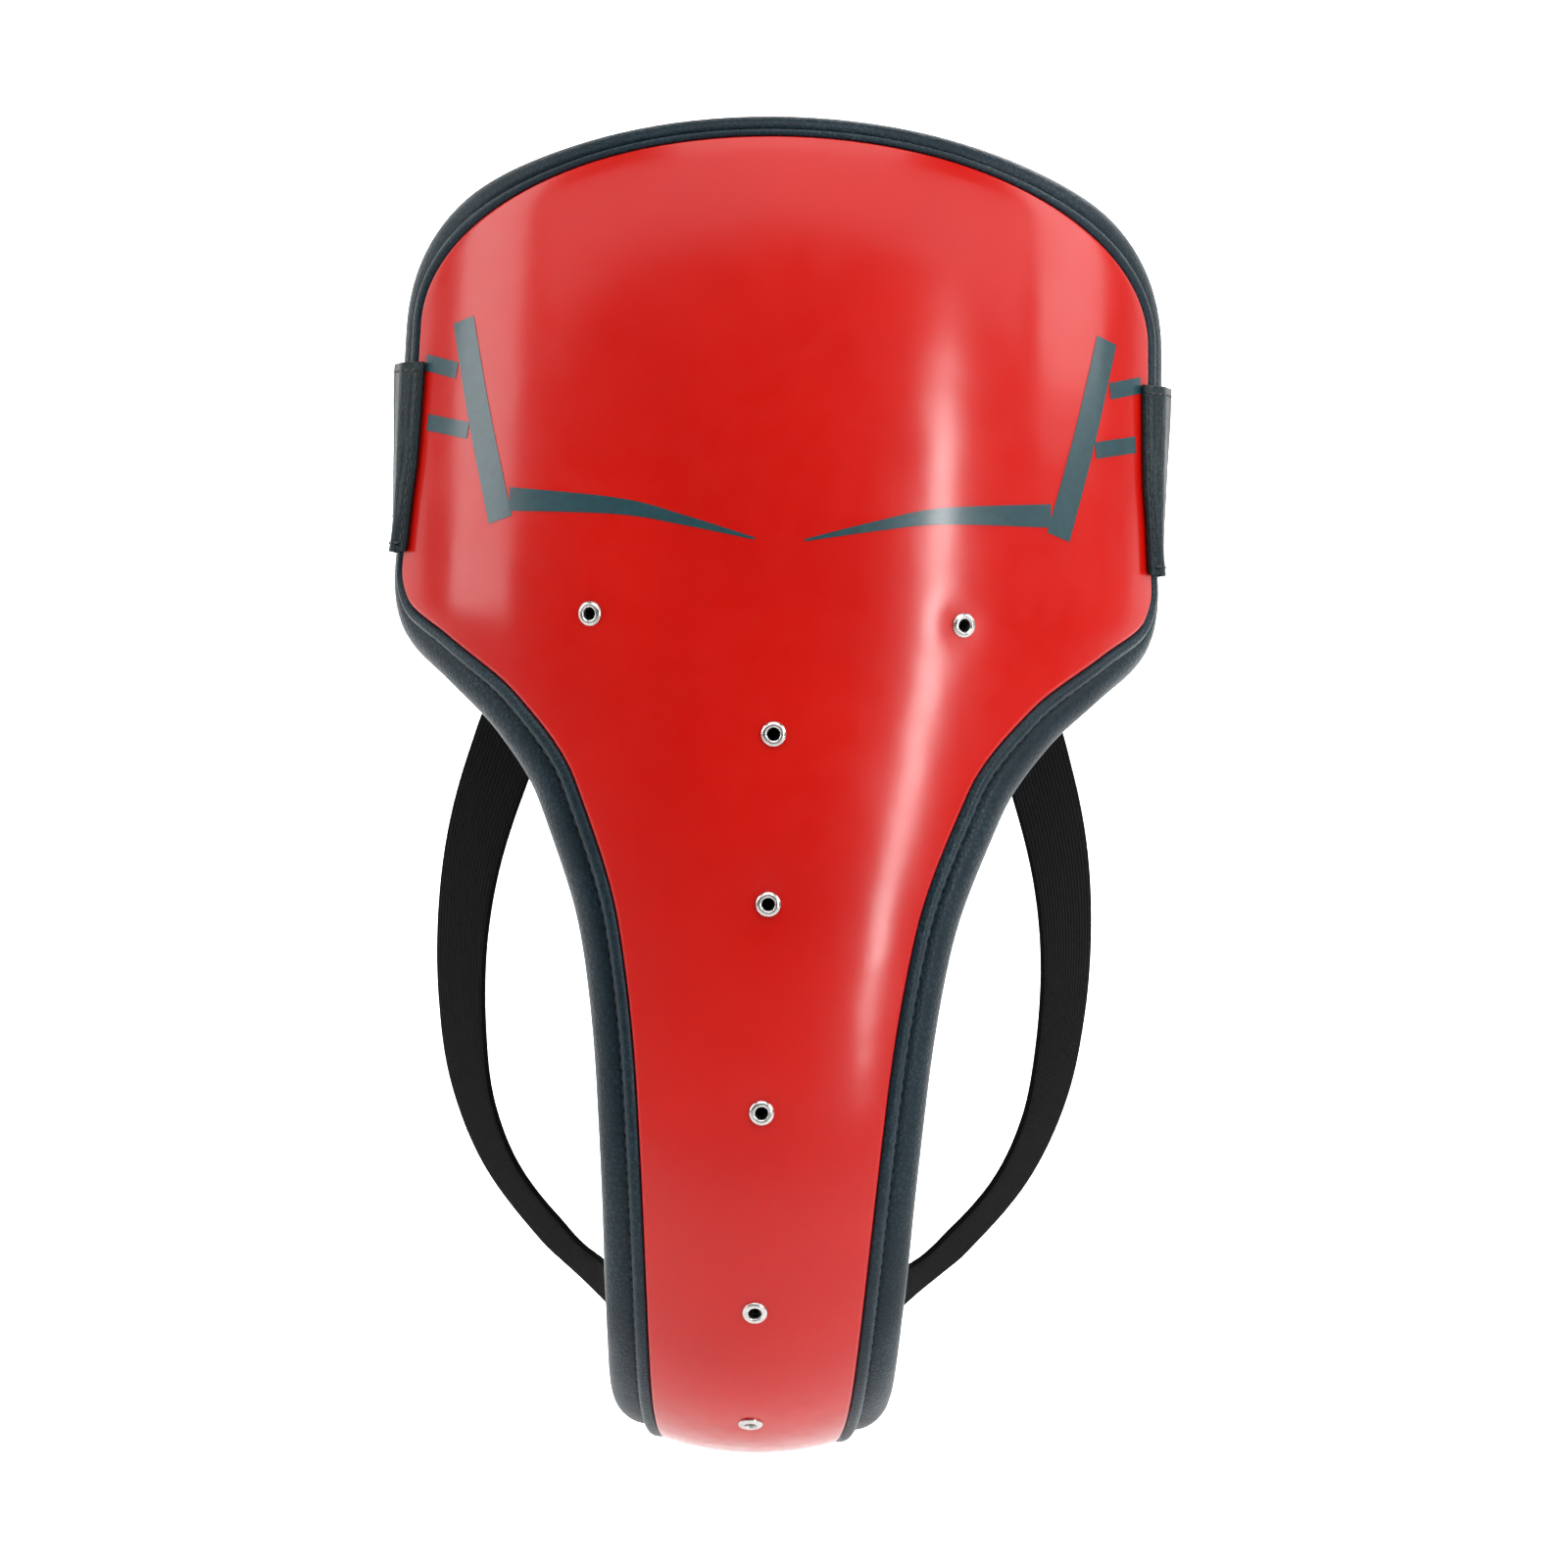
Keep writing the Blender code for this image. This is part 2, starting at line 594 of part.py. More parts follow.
def strap_patch(name, ends, side, pad_tree):
    """A strap's sewn end, lying on the back of the pad between two (station, x) places."""
    start, end = (np.array(place) for place in ends)
    along = end - start
    across = np.array((-along[1], along[0])) / math.hypot(*along) * STRAP_WIDTH
    rows_out, rows_in = [], []
    for t in np.linspace(0, 1, 4):
        outer, inner = [], []
        for share in (0.5, 0.25, 0.0, -0.25, -0.5):
            station, x = start + along * t + across * share
            point, way = seat(pad_tree, station, side * x, PAD_COVER_OUT)
            inner.append(point - way * PATCH_GAP)
            outer.append(point - way * (PATCH_GAP + STRAP_THICK))
        rows_in.append(inner)
        rows_out.append(outer)
    closed_skin(name, rows_out, [], rows_in, "strap_elastic")


def patch_exit(ends, side, pad_tree):
    """Where a strap leaves its sewn end: the point, the way it leaves and its width direction."""
    (start, start_x), (end, end_x) = ends
    before, _ = seat(pad_tree, start, side * start_x, PAD_COVER_OUT)
    leave, way = seat(pad_tree, end, side * end_x, PAD_COVER_OUT)
    away = (leave - before).normalized()
    return leave + away * STRAP_END_GAP - way * STRAP_END_LIFT, away, away.cross(way).normalized()


def catmull(points, per_span):
    """Points along the smooth curve through the given ones."""
    padded = [points[0] * 2 - points[1], *points, points[-1] * 2 - points[-2]]
    made = []
    for a, b, c, d in zip(padded, padded[1:], padded[2:], padded[3:]):
        for k in range(per_span):
            t = k / per_span
            made.append(
                (b * 2 + (c - a) * t + (a * 2 - b * 5 + c * 4 - d) * t**2 + (b * 3 - a - c * 3 + d) * t**3) / 2
            )
    return [*made, points[-1]]


def evenly(points, count):
    """count points spread evenly along a polyline."""
    line = np.array([tuple(p) for p in points])
    along = np.concatenate([[0], np.cumsum(np.linalg.norm(np.diff(line, axis=0), axis=1))])
    at = np.linspace(0, along[-1], count)
    return [Vector([float(np.interp(s, along, line[:, k])) for k in range(3)]) for s in at]


def leg_strap(side, name, pad_tree):
    """A leg strap between its two sewn ends, on an empty at its upper end."""
    top, top_way, top_width = patch_exit(STRAP_TOP_PATCH, side, pad_tree)
    tip, tip_way, tip_width = patch_exit(STRAP_TIP_PATCH, side, pad_tree)
    route = [Vector((-side * x, y, z)) for x, y, z in STRAP_ROUTE]
    knots = [(t, Vector((-side * x, y, z))) for t, (x, y, z) in STRAP_WIDTH_KNOTS]
    knots.insert(0, (0.0, top_width if top_width.dot(knots[0][1]) > 0 else -top_width))
    knots.append((1.0, tip_width if tip_width.dot(knots[-1][1]) > 0 else -tip_width))
    guides = [top, top + top_way * 0.007, *route, tip + tip_way * 0.010, tip]
    centres = evenly(catmull(guides, 8), STRAP_STEPS + 1)
    widths, normals = [], []
    for k, centre in enumerate(centres):
        t = k / STRAP_STEPS
        width = knots[0][1]
        for (before, _), (after, direction) in zip(knots, knots[1:]):
            width = width.lerp(direction, ease(before, after, t))
        along = (centres[min(k + 1, STRAP_STEPS)] - centres[max(k - 1, 0)]).normalized()
        width = (width - along * width.dot(along)).normalized()
        widths.append(width * STRAP_WIDTH)
        normals.append(along.cross(width).normalized())
    hinge = add_hinge(f"{name}_hinge", top)
    ribbon(name, centres, widths, normals, STRAP_THICK, "strap_elastic", parent=hinge)


def build_straps(pad_cover):
    """Both leg straps, with the patches that sew them to the back of the pad."""
    pad_tree = surface_tree(pad_cover)
    for side, name in ((-1, "left"), (1, "right")):
        strap_patch(f"strap_patch_upper_{name}", STRAP_TOP_PATCH, side, pad_tree)
        strap_patch(f"strap_patch_lower_{name}", STRAP_TIP_PATCH, side, pad_tree)
        leg_strap(side, f"leg_strap_{name}", pad_tree)


def main():
    for old in list(bpy.data.objects):
        bpy.data.objects.remove(old)
    pad_cover = build_guard()
    build_belt()
    build_straps(pad_cover)


main()
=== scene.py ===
"""The look of the groin protector: fine leather, padding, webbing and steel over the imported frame.

The curved surfaces repeat the CAD's own formulas on a finer grid, so they lie where its solids do.
A place on the shield is (station, angle): the distance down the centre line, and the angle round the
cross section. A place on its rim is (out, deep) in millimetres: past the edge, behind the front.
"""

import math

import bmesh
import bpy
import numpy as np
from mathutils import Matrix, Vector


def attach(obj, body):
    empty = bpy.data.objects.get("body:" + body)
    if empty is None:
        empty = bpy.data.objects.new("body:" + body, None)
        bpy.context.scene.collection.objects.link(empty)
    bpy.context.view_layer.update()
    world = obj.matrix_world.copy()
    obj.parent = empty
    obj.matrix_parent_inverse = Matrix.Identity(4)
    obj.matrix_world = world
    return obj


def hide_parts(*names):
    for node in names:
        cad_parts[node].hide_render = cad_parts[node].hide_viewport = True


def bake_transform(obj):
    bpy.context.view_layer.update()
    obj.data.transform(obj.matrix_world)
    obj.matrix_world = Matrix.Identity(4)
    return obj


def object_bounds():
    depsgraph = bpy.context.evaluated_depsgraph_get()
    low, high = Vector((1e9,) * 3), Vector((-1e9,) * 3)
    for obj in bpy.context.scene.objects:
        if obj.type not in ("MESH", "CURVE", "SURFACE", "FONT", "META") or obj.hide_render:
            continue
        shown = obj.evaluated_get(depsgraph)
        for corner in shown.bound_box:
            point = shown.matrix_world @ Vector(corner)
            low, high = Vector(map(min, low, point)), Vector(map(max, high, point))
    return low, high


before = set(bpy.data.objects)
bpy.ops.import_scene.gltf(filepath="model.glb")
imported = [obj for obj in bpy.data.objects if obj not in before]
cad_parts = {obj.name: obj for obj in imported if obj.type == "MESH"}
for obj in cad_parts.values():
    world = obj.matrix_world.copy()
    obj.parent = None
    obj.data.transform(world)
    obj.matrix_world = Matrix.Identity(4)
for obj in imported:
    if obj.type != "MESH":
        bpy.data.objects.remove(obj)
CAD_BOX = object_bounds()
MM = 0.001

# ---- the CAD's surfaces, in metres
SPINE_LENGTH = 0.431
SPINE_SPARE = 0.03
SPINE_STEPS = 900
SPINE_TOP_Z = 0.084
PLATE_FRONT_Y = -0.1034
TILT = ((0.0, -20), (0.022, -9), (0.080, -4), (0.170, 0), (0.248, 4), (0.262, 9), (0.431, 107))
HALF_SPAN = (
    (0.0, 0.111), (0.120, 0.111), (0.169, 0.097), (0.207, 0.081), (0.252, 0.071), (0.431, 0.052),
)
HALF_DEPTH = (
    (0.0, 0.096), (0.120, 0.096), (0.169, 0.088), (0.207, 0.076), (0.252, 0.068), (0.340, 0.058),
    (0.400, 0.038), (0.431, 0.030),
)
EDGE_ANGLE = (
    (0.050, 58.9), (0.100, 60.5), (0.115, 62.1), (0.122, 60.3), (0.131, 51.2), (0.146, 39.1),
    (0.169, 30.8), (0.207, 27.2), (0.252, 25.8), (0.312, 25.0), (0.354, 24.8), (0.392, 23.4),
    (0.410, 20.3), (0.422, 14.5),
)
SHOULDER = 0.050
TIP_SIDE = 0.422
TOP_RISE_ENDS = 0.170
TIP_RISE_STARTS = 0.380
OUTLINE_POWER = 2.0
CROWDS = ((0.122, 0.020, 2.2), (0.422, 0.030, 1.9))
EDGE_SAMPLES = 600
COVER_FRONT = -0.0016
SKIN_GAP = 0.0002
PAD_BACK = 0.0160
RIM_SHARE = (
    (0.0, 0.55), (0.010, 0.60), (0.028, 0.88), (0.045, 1.0), (0.062, 0.98), (0.085, 0.84),
    (0.105, 0.72), (0.125, 0.90), (0.150, 1.04), (0.172, 1.06), (0.215, 1.0), (0.370, 1.04),
    (0.431, 1.0),
)
BELT_HEIGHT = 0.050
BELT_THICK = 0.0020
BELT_HALF_SPAN = 0.1022
BELT_HINGE_Y = -0.036
BELT_SWING_GAP = 0.0009
BELT_TURN_Y = 0.040
BELT_BACK_REACH = 0.066
LAP_OFFSET = 0.0053
LAP_RAMP_X = (-0.050, -0.014)
PEEL_X = -0.010
TAB_END_X = 0.050
TAB_TIP_ROUND = 0.010
SIDE_TAB_FRONT = ((-0.025, 60.4), (-0.0115, 59.3), (0.0, 58.2), (0.025, 57.2))
SIDE_TAB_THICK = 0.0016
STRAP_WIDTH = 0.020
STRAP_THICK = 0.0018
STRAP_TOP_PATCH = ((0.101, 0.044), (0.125, 0.049))
STRAP_TIP_PATCH = ((0.379, 0.0085), (0.391, 0.0160))
STRAP_ROUTE = (
    (-0.0655, -0.0500, -0.0640), (-0.0735, -0.0340, -0.0830), (-0.0795, -0.0150, -0.1040),
    (-0.0825, 0.0040, -0.1260), (-0.0825, 0.0220, -0.1490), (-0.0795, 0.0380, -0.1715),
    (-0.0710, 0.0480, -0.1925), (-0.0560, 0.0500, -0.2110), (-0.0390, 0.0405, -0.2255),
)
STRAP_WIDTH_KNOTS = ((0.42, (0.67, -0.52, -0.52)), (0.72, (0.45, -0.885, 0.09)))


def unit(v):
    return v / np.linalg.norm(v, axis=-1, keepdims=True)


def smooth(knots, at):
    """Values on a monotone cubic curve through (place, value) knots, flat past its ends."""
    place, value = np.array(knots, float).T
    step = np.diff(place)
    slope = np.diff(value) / step
    tangent = np.concatenate([[slope[0]], np.zeros(len(slope) - 1), [slope[-1]]])
    for i in range(1, len(slope)):
        if slope[i - 1] * slope[i] > 0:
            tangent[i] = 2 * slope[i - 1] * slope[i] / (slope[i - 1] + slope[i])
    at = np.clip(at, place[0], place[-1])
    i = np.clip(np.searchsorted(place, at) - 1, 0, len(step) - 1)
    t = (at - place[i]) / step[i]
    start = (1 + 2 * t) * (1 - t) ** 2 * value[i] + t * (1 - t) ** 2 * step[i] * tangent[i]
    end = t * t * (3 - 2 * t) * value[i + 1] + t * t * (t - 1) * step[i] * tangent[i + 1]
    return start + end


def ease(low, high, at):
    """0 below low, 1 above high, and a smooth step between."""
    t = np.clip((np.asarray(at, float) - low) / (high - low), 0.0, 1.0)
    return t * t * (3 - 2 * t)


def walk_spine():
    stations = np.linspace(-SPINE_SPARE, SPINE_LENGTH + SPINE_SPARE, SPINE_STEPS)
    tilts = np.radians(smooth(TILT, stations))
    step = stations[1] - stations[0]
    middle = (tilts[1:] + tilts[:-1]) / 2
    y = np.concatenate([[0], np.cumsum(np.sin(middle) * step)])
    z = np.concatenate([[0], np.cumsum(-np.cos(middle) * step)])
    y += PLATE_FRONT_Y - y.min()
    z += SPINE_TOP_Z - np.interp(0.0, stations, z)
    return stations, y, z, tilts


SPINE = walk_spine()


def surface(station, angle):
    """Points of the plate's front face at stations and angles in radians."""
    stations, ys, zs, tilts = SPINE
    station, angle = np.broadcast_arrays(np.asarray(station, float), np.asarray(angle, float))
    y, z, tilt = (np.interp(station, stations, values) for values in (ys, zs, tilts))
    lean = np.maximum(tilt, 0.0)
    depth = smooth(HALF_DEPTH, station) * (1 - np.cos(angle))
    x = smooth(HALF_SPAN, station) * np.sin(angle)
    return np.stack([x, y + depth * np.cos(lean), z + depth * np.sin(lean)], -1)


def outward(station, angle):
    """Unit normals there, pointing away from the wearer."""
    h = 1e-3
    down = surface(np.add(station, h), angle) - surface(np.subtract(station, h), angle)
    turn = surface(station, np.add(angle, h)) - surface(station, np.subtract(angle, h))
    return unit(np.cross(down, turn))


def behind(station, angle, deep):
    """Points at a depth behind the plate's front face. deep is one value or one for each place."""
    return surface(station, angle) - outward(station, angle) * np.asarray(deep, float)[..., None]


def angle_at(station, x):
    """The angle at which the plate's front face reaches this x."""
    return np.arcsin(np.clip(x / smooth(HALF_SPAN, station), -1, 1))


def shield_grid(rows, half_columns):
    """Stations and angles of a grid over the shield, which follows its outline."""
    fine = np.linspace(SHOULDER, TIP_SIDE, EDGE_SAMPLES)
    density = 1 + sum(crowd * np.exp(-(((fine - at) / reach) ** 2)) for at, reach, crowd in CROWDS)
    total = np.concatenate([[0], np.cumsum((density[1:] + density[:-1]) / 2)])
    edge = np.interp(np.linspace(0, total[-1], rows + 1), total, fine)[:, None]
    reach = np.radians(smooth(EDGE_ANGLE, edge))
    rise = -SHOULDER * (1 - ease(SHOULDER, TOP_RISE_ENDS, edge))
    rise = rise + (SPINE_LENGTH - TIP_SIDE) * ease(TIP_RISE_STARTS, TIP_SIDE, edge)
    across = np.arange(-half_columns, half_columns + 1) / half_columns
    angle = reach * np.sin(math.pi / 2 * across)[None, :]
    share = np.minimum(np.abs(np.sin(angle) / np.sin(reach)), 1.0)
    bow = (1 - share**OUTLINE_POWER) ** (1 / OUTLINE_POWER)
    return edge + rise * bow, angle


def edge_walk(rows, columns):
    """Row and column indices round a grid's edge."""
    walk = [(0, j) for j in range(columns)]
    walk += [(i, columns - 1) for i in range(1, rows)]
    walk += [(rows - 1, j) for j in range(columns - 2, -1, -1)]
    walk += [(i, 0) for i in range(rows - 2, 0, -1)]
    return np.array(walk).T


class Rim:
    """The frames round the shield's edge, for loops at any place of the rim's profile."""

    def __init__(self, grid):
        i, j = edge_walk(*grid[0].shape)
        station, angle = grid[0][i, j], grid[1][i, j]
        self.point = surface(station, angle)
        self.normal = outward(station, angle)
        ahead = np.roll(self.point, -1, 0) - self.point
        along = unit(unit(ahead) + np.roll(unit(ahead), 1, 0))
        self.out = unit(np.cross(self.normal, along))
        self.share = smooth(RIM_SHARE, station)[:, None]

    def loop(self, out_mm, deep_mm):
        return self.point + self.out * (out_mm * self.share * MM) - self.normal * (deep_mm * MM)


# ---- meshes
def add_object(name, data):
    made = bpy.data.objects.new(name, data)
    bpy.context.scene.collection.objects.link(made)
    return made


def new_object(name, points, faces, uvs=None):
    mesh = bpy.data.meshes.new(name)
    mesh.from_pydata([tuple(map(float, p)) for p in points], [], [tuple(map(int, f)) for f in faces])
    if uvs is not None:
        layer = mesh.uv_layers.new(name="UVMap")
        index = np.zeros(len(mesh.loops), np.int32)
        mesh.loops.foreach_get("vertex_index", index)
        layer.data.foreach_set("uv", np.asarray(uvs, np.float32)[index].ravel())
    return add_object(name, mesh)


def turn_faces_out(made):
    work = bmesh.new()
    work.from_mesh(made.data)
    bmesh.ops.recalc_face_normals(work, faces=work.faces)
    work.to_mesh(made.data)
    work.free()


def finish_mesh(made, material, sharp=None):
    """Outward normals, smooth shading and a material."""
    turn_faces_out(made)
    made.data.shade_smooth()
    if sharp is not None:
        made.data.set_sharp_from_angle(angle=math.radians(sharp))
    made.data.materials.append(material)
    return made


def bake(made):
    """Applies the object's modifiers to its mesh."""
    graph = bpy.context.evaluated_depsgraph_get()
    graph.update()
    mesh = bpy.data.meshes.new_from_object(made.evaluated_get(graph))
    made.modifiers.clear()
    made.data = mesh


def grid_faces(rows, columns, base=0):
    i, j = np.mgrid[0 : rows - 1, 0 : columns - 1]
    a = base + i * columns + j
    return np.stack([a, a + 1, a + columns + 1, a + columns], -1).reshape(-1, 4)


def ring_faces(near, far):
    n = len(near)
    return [(near[k], near[(k + 1) % n], far[(k + 1) % n], far[k]) for k in range(n)]


def tube_faces(rings, count, base=0, closed=False):
    """Faces along rings of count points each, with the last ring joined to the first if closed."""
    ring = base + np.arange(rings * count).reshape(rings, count)
    ahead = np.roll(ring, -1, 0) if closed else ring[1:]
    return [face for near, far in zip(ring, ahead) for face in ring_faces(near, far)]


def layered(front, loops, back=None):
    """Points and faces of a grid, the loops round its edge, and a second grid that closes it."""
    rows, columns = front.shape[:2]
    i, j = edge_walk(rows, columns)
    points = [front.reshape(-1, 3)]
    faces = list(grid_faces(rows, columns))
    ring = i * columns + j
    base = rows * columns
    for loop in loops:
        points.append(loop)
        far = base + np.arange(len(loop))
        faces += ring_faces(ring, far)
        ring, base = far, base + len(loop)
    if back is not None:
        points.append(back.reshape(-1, 3))
        faces += ring_faces(ring, base + i * columns + j)
        faces += list(grid_faces(rows, columns, base))
    return np.concatenate(points), faces


def distances(line):
    """How far along a line of points each of them is."""
    return np.concatenate([[0], np.cumsum(np.linalg.norm(np.diff(line, axis=0), axis=1))])


# A flat band's section with rounded edges, as shares of its width and thickness.
WEB_HALF = (
    (-0.5, 0.0), (-0.495, 0.28), (-0.475, 0.46), (-0.44, 0.5), (-0.22, 0.5), (0.0, 0.5),
    (0.22, 0.5), (0.44, 0.5), (0.475, 0.46), (0.495, 0.28),
)
WEB = WEB_HALF + tuple((-w, -t) for w, t in WEB_HALF)


def webbing(name, centres, widths, normals, thickness, material, caps=(True, True)):
    """A flat band. widths are full width vectors. u runs across it and v along it, in metres."""
    centres, widths, normals = (np.asarray(a, float) for a in (centres, widths, normals))
    count = len(WEB)
    along = distances(centres)
    points, uvs = [], []
    for k in range(len(centres)):
        for w, t in WEB:
            points.append(centres[k] + widths[k] * w + normals[k] * (thickness * t))
            uvs.append((w * np.linalg.norm(widths[k]), along[k]))
    faces = tube_faces(len(centres), count)
    if caps[0]:
        faces.append(tuple(range(count)))
    if caps[1]:
        faces.append(tuple(range((len(centres) - 1) * count, len(centres) * count)))
    return finish_mesh(new_object(name, points, faces, uvs), material, sharp=60)


def resample(points, spacing, *more):
    """Points spread evenly along a line, and any vectors that go with them."""
    along = distances(points)
    at = np.linspace(0, along[-1], max(int(round(along[-1] / spacing)) + 1, 2))
    return [
        np.stack([np.interp(at, along, np.asarray(values, float)[:, k]) for k in range(3)], -1)
        for values in (points, *more)
    ]


# One stitch: the place along it as a share of its length, then its height and thickness as shares
# of its radius.
STITCH = (
    (-0.5, -0.6, 0.45), (-0.36, 0.35, 0.95), (0, 0.7, 1.0), (0.36, 0.35, 0.95), (0.5, -0.6, 0.45),
)
STITCH_SIDES = 6


def stitches(name, lines, material, spacing, length, radius, sink):
    """Short raised threads with sunk ends along (points, normals) lines, sized in millimetres."""
    points, faces = [], []
    for line, normals in lines:
        at, up = resample(line, spacing * MM, normals)
        for k in range(len(at) - 1):
            middle = (at[k] + at[k + 1]) / 2
            way = unit(at[k + 1] - at[k])
            lift = unit((up[k] + up[k + 1]) / 2)
            side = np.cross(way, lift)
            base, cap = len(points), np.arange(STITCH_SIDES)
            faces += tube_faces(len(STITCH), STITCH_SIDES, base)
            faces += [base + cap, base + (len(STITCH) - 1) * STITCH_SIDES + cap]
            for s, high, thick in STITCH:
                centre = middle + way * (s * length * MM) + lift * ((high * radius - sink) * MM)
                for turn in range(STITCH_SIDES):
                    a = 2 * math.pi / STITCH_SIDES * turn
                    spoke = side * math.cos(a) + lift * math.sin(a)
                    points.append(centre + spoke * (radius * thick * MM))
    return finish_mesh(new_object(name, points, faces), material)


def catmull(points, per_span):
    """Points along the smooth curve through the given ones."""
    points = np.asarray(points, float)
    padded = np.vstack([points[0] * 2 - points[1], points, points[-1] * 2 - points[-2]])
    t = (np.arange(per_span) / per_span)[:, None]
    made = []
    for a, b, c, d in zip(padded, padded[1:], padded[2:], padded[3:]):
        bend = (a * 2 - b * 5 + c * 4 - d) * t**2 + (b * 3 - a - c * 3 + d) * t**3
        made.append((b * 2 + (c - a) * t + bend) / 2)
    return np.vstack([*made, points[-1:]])


# ---- materials
class Nodes:
    """A small helper round one material's node tree."""

    def __init__(self, name, colour, roughness, **sockets):
        self.material = bpy.data.materials.new(name)
        self.material.use_nodes = True
        self.tree = self.material.node_tree
        self.shader = self.tree.nodes["Principled BSDF"]
        self.material.diffuse_color = (*colour, 1)
        self.shader.inputs["Base Color"].default_value = (*colour, 1)
        self.shader.inputs["Roughness"].default_value = roughness
        for socket, value in sockets.items():
            self.shader.inputs[socket.replace("_", " ")].default_value = value
        self.coordinates = self.add("ShaderNodeTexCoord")
        self.normal = None

    def add(self, kind, **values):
        made = self.tree.nodes.new(kind)
        for key, value in values.items():
            if hasattr(made, key):
                setattr(made, key, value)
            else:
                made.inputs[key.replace("_", " ")].default_value = value
        return made

    def link(self, source, target):
        self.tree.links.new(source, target)

    def place(self, output="Object", scale=(1, 1, 1), turn=(0, 0, 0)):
        mapping = self.add("ShaderNodeMapping")
        mapping.inputs["Scale"].default_value = scale
        mapping.inputs["Rotation"].default_value = turn
        self.link(self.coordinates.outputs[output], mapping.inputs["Vector"])
        return mapping.outputs["Vector"]

    def noise(self, place, scale, detail=2.0, roughness=0.5):
        made = self.add("ShaderNodeTexNoise", Scale=scale, Detail=detail, Roughness=roughness)
        self.link(place, made.inputs["Vector"])
        return made.outputs["Fac"]

    def cells(self, place, scale, feature="DISTANCE_TO_EDGE"):
        made = self.add("ShaderNodeTexVoronoi", feature=feature, Scale=scale)
        self.link(place, made.inputs["Vector"])
        return made.outputs["Distance"]

    def wave(self, place, scale, axis):
        made = self.add("ShaderNodeTexWave", bands_direction=axis, Scale=scale)
        self.link(place, made.inputs["Vector"])
        return made.outputs["Fac"]

    def math(self, operation, a, b=0.0, clamp=False):
        made = self.add("ShaderNodeMath", operation=operation, use_clamp=clamp)
        for socket, value in zip(made.inputs, (a, b)):
            if isinstance(value, (int, float)):
                socket.default_value = value
            else:
                self.link(value, socket)
        return made.outputs[0]

    def ramp(self, value, stops):
        made = self.add("ShaderNodeValToRGB")
        ramp = made.color_ramp
        while len(ramp.elements) < len(stops):
            ramp.elements.new(0.5)
        for element, (at, colour) in zip(ramp.elements, stops):
            element.position = at
            element.color = (*colour, 1)
        self.link(value, made.inputs["Fac"])
        return made.outputs["Color"]

    def colour(self, value, *stops):
        self.to("Base Color", self.ramp(value, stops))

    def range(self, value, low, high, new_low, new_high):
        made = self.add("ShaderNodeMapRange")
        sockets = ("From Min", "From Max", "To Min", "To Max")
        for socket, number in zip(sockets, (low, high, new_low, new_high)):
            made.inputs[socket].default_value = number
        self.link(value, made.inputs["Value"])
        return made.outputs["Result"]

    def bump(self, height, strength, distance):
        made = self.add("ShaderNodeBump", Strength=strength, Distance=distance)
        self.link(height, made.inputs["Height"])
        if self.normal is not None:
            self.link(self.normal, made.inputs["Normal"])
        self.normal = made.outputs["Normal"]
        self.link(self.normal, self.shader.inputs["Normal"])
        return made

    def to(self, socket, value):
        self.link(value, self.shader.inputs[socket])


def dim(colour, share):
    return tuple(c * share for c in colour)


def red_leather():
    """Glossy sheet leather: nearly flat, with a slow ripple and a fine soft grain."""
    m = Nodes(
        "gloss_red_leather", (0.59, 0.004, 0.0004), 0.38,
        Coat_Weight=1.0, Coat_Roughness=0.17, Coat_IOR=1.40, Specular_IOR_Level=0.15,
    )
    spot = m.place()
    wander = m.noise(spot, 22, 3)
    m.colour(wander, (0.30, (0.56, 0.003, 0.0003)), (0.72, (0.62, 0.005, 0.0005)))
    m.to("Roughness", m.range(m.noise(spot, 160, 4), 0.3, 0.7, 0.30, 0.42))
    m.to("Coat Roughness", m.range(m.noise(spot, 40, 3), 0.3, 0.7, 0.14, 0.21))
    m.bump(m.noise(spot, 17, 2), 0.30, 0.0018)
    m.bump(m.noise(spot, 75, 2), 0.10, 0.0006)
    fine = m.bump(m.noise(spot, 1300, 2), 0.06, 0.00010)
    m.link(fine.outputs["Normal"], m.shader.inputs["Coat Normal"])
    return m.material


def dark_leather(name, colour, lift, roughness=0.42, grain_scale=620, coat=0.05):
    """Grained synthetic leather, a little paler on its ridges and where it is rubbed."""
    m = Nodes(
        name, colour, roughness, Coat_Weight=coat, Coat_Roughness=0.28, Specular_IOR_Level=0.25
    )
    spot = m.place()
    creases = m.range(m.cells(spot, grain_scale), 0.0, 0.22, 0.0, 1.0)
    rub = m.noise(spot, 34, 4, 0.6)
    mixed = m.math("MULTIPLY", creases, m.range(rub, 0.35, 0.75, 0.35, 1.0), clamp=True)
    m.colour(mixed, (0.0, dim(colour, 0.55)), (0.55, colour), (1.0, lift))
    m.to("Roughness", m.range(rub, 0.3, 0.75, roughness + 0.10, roughness - 0.06))
    m.bump(m.noise(spot, 55, 3), 0.22, 0.0008)
    m.bump(m.noise(spot, 1500, 2), 0.10, 0.0001)
    m.bump(creases, 0.38, 0.00022)
    return m.material


WAVE_PERIOD = 0.314  # of a wave texture at scale 1


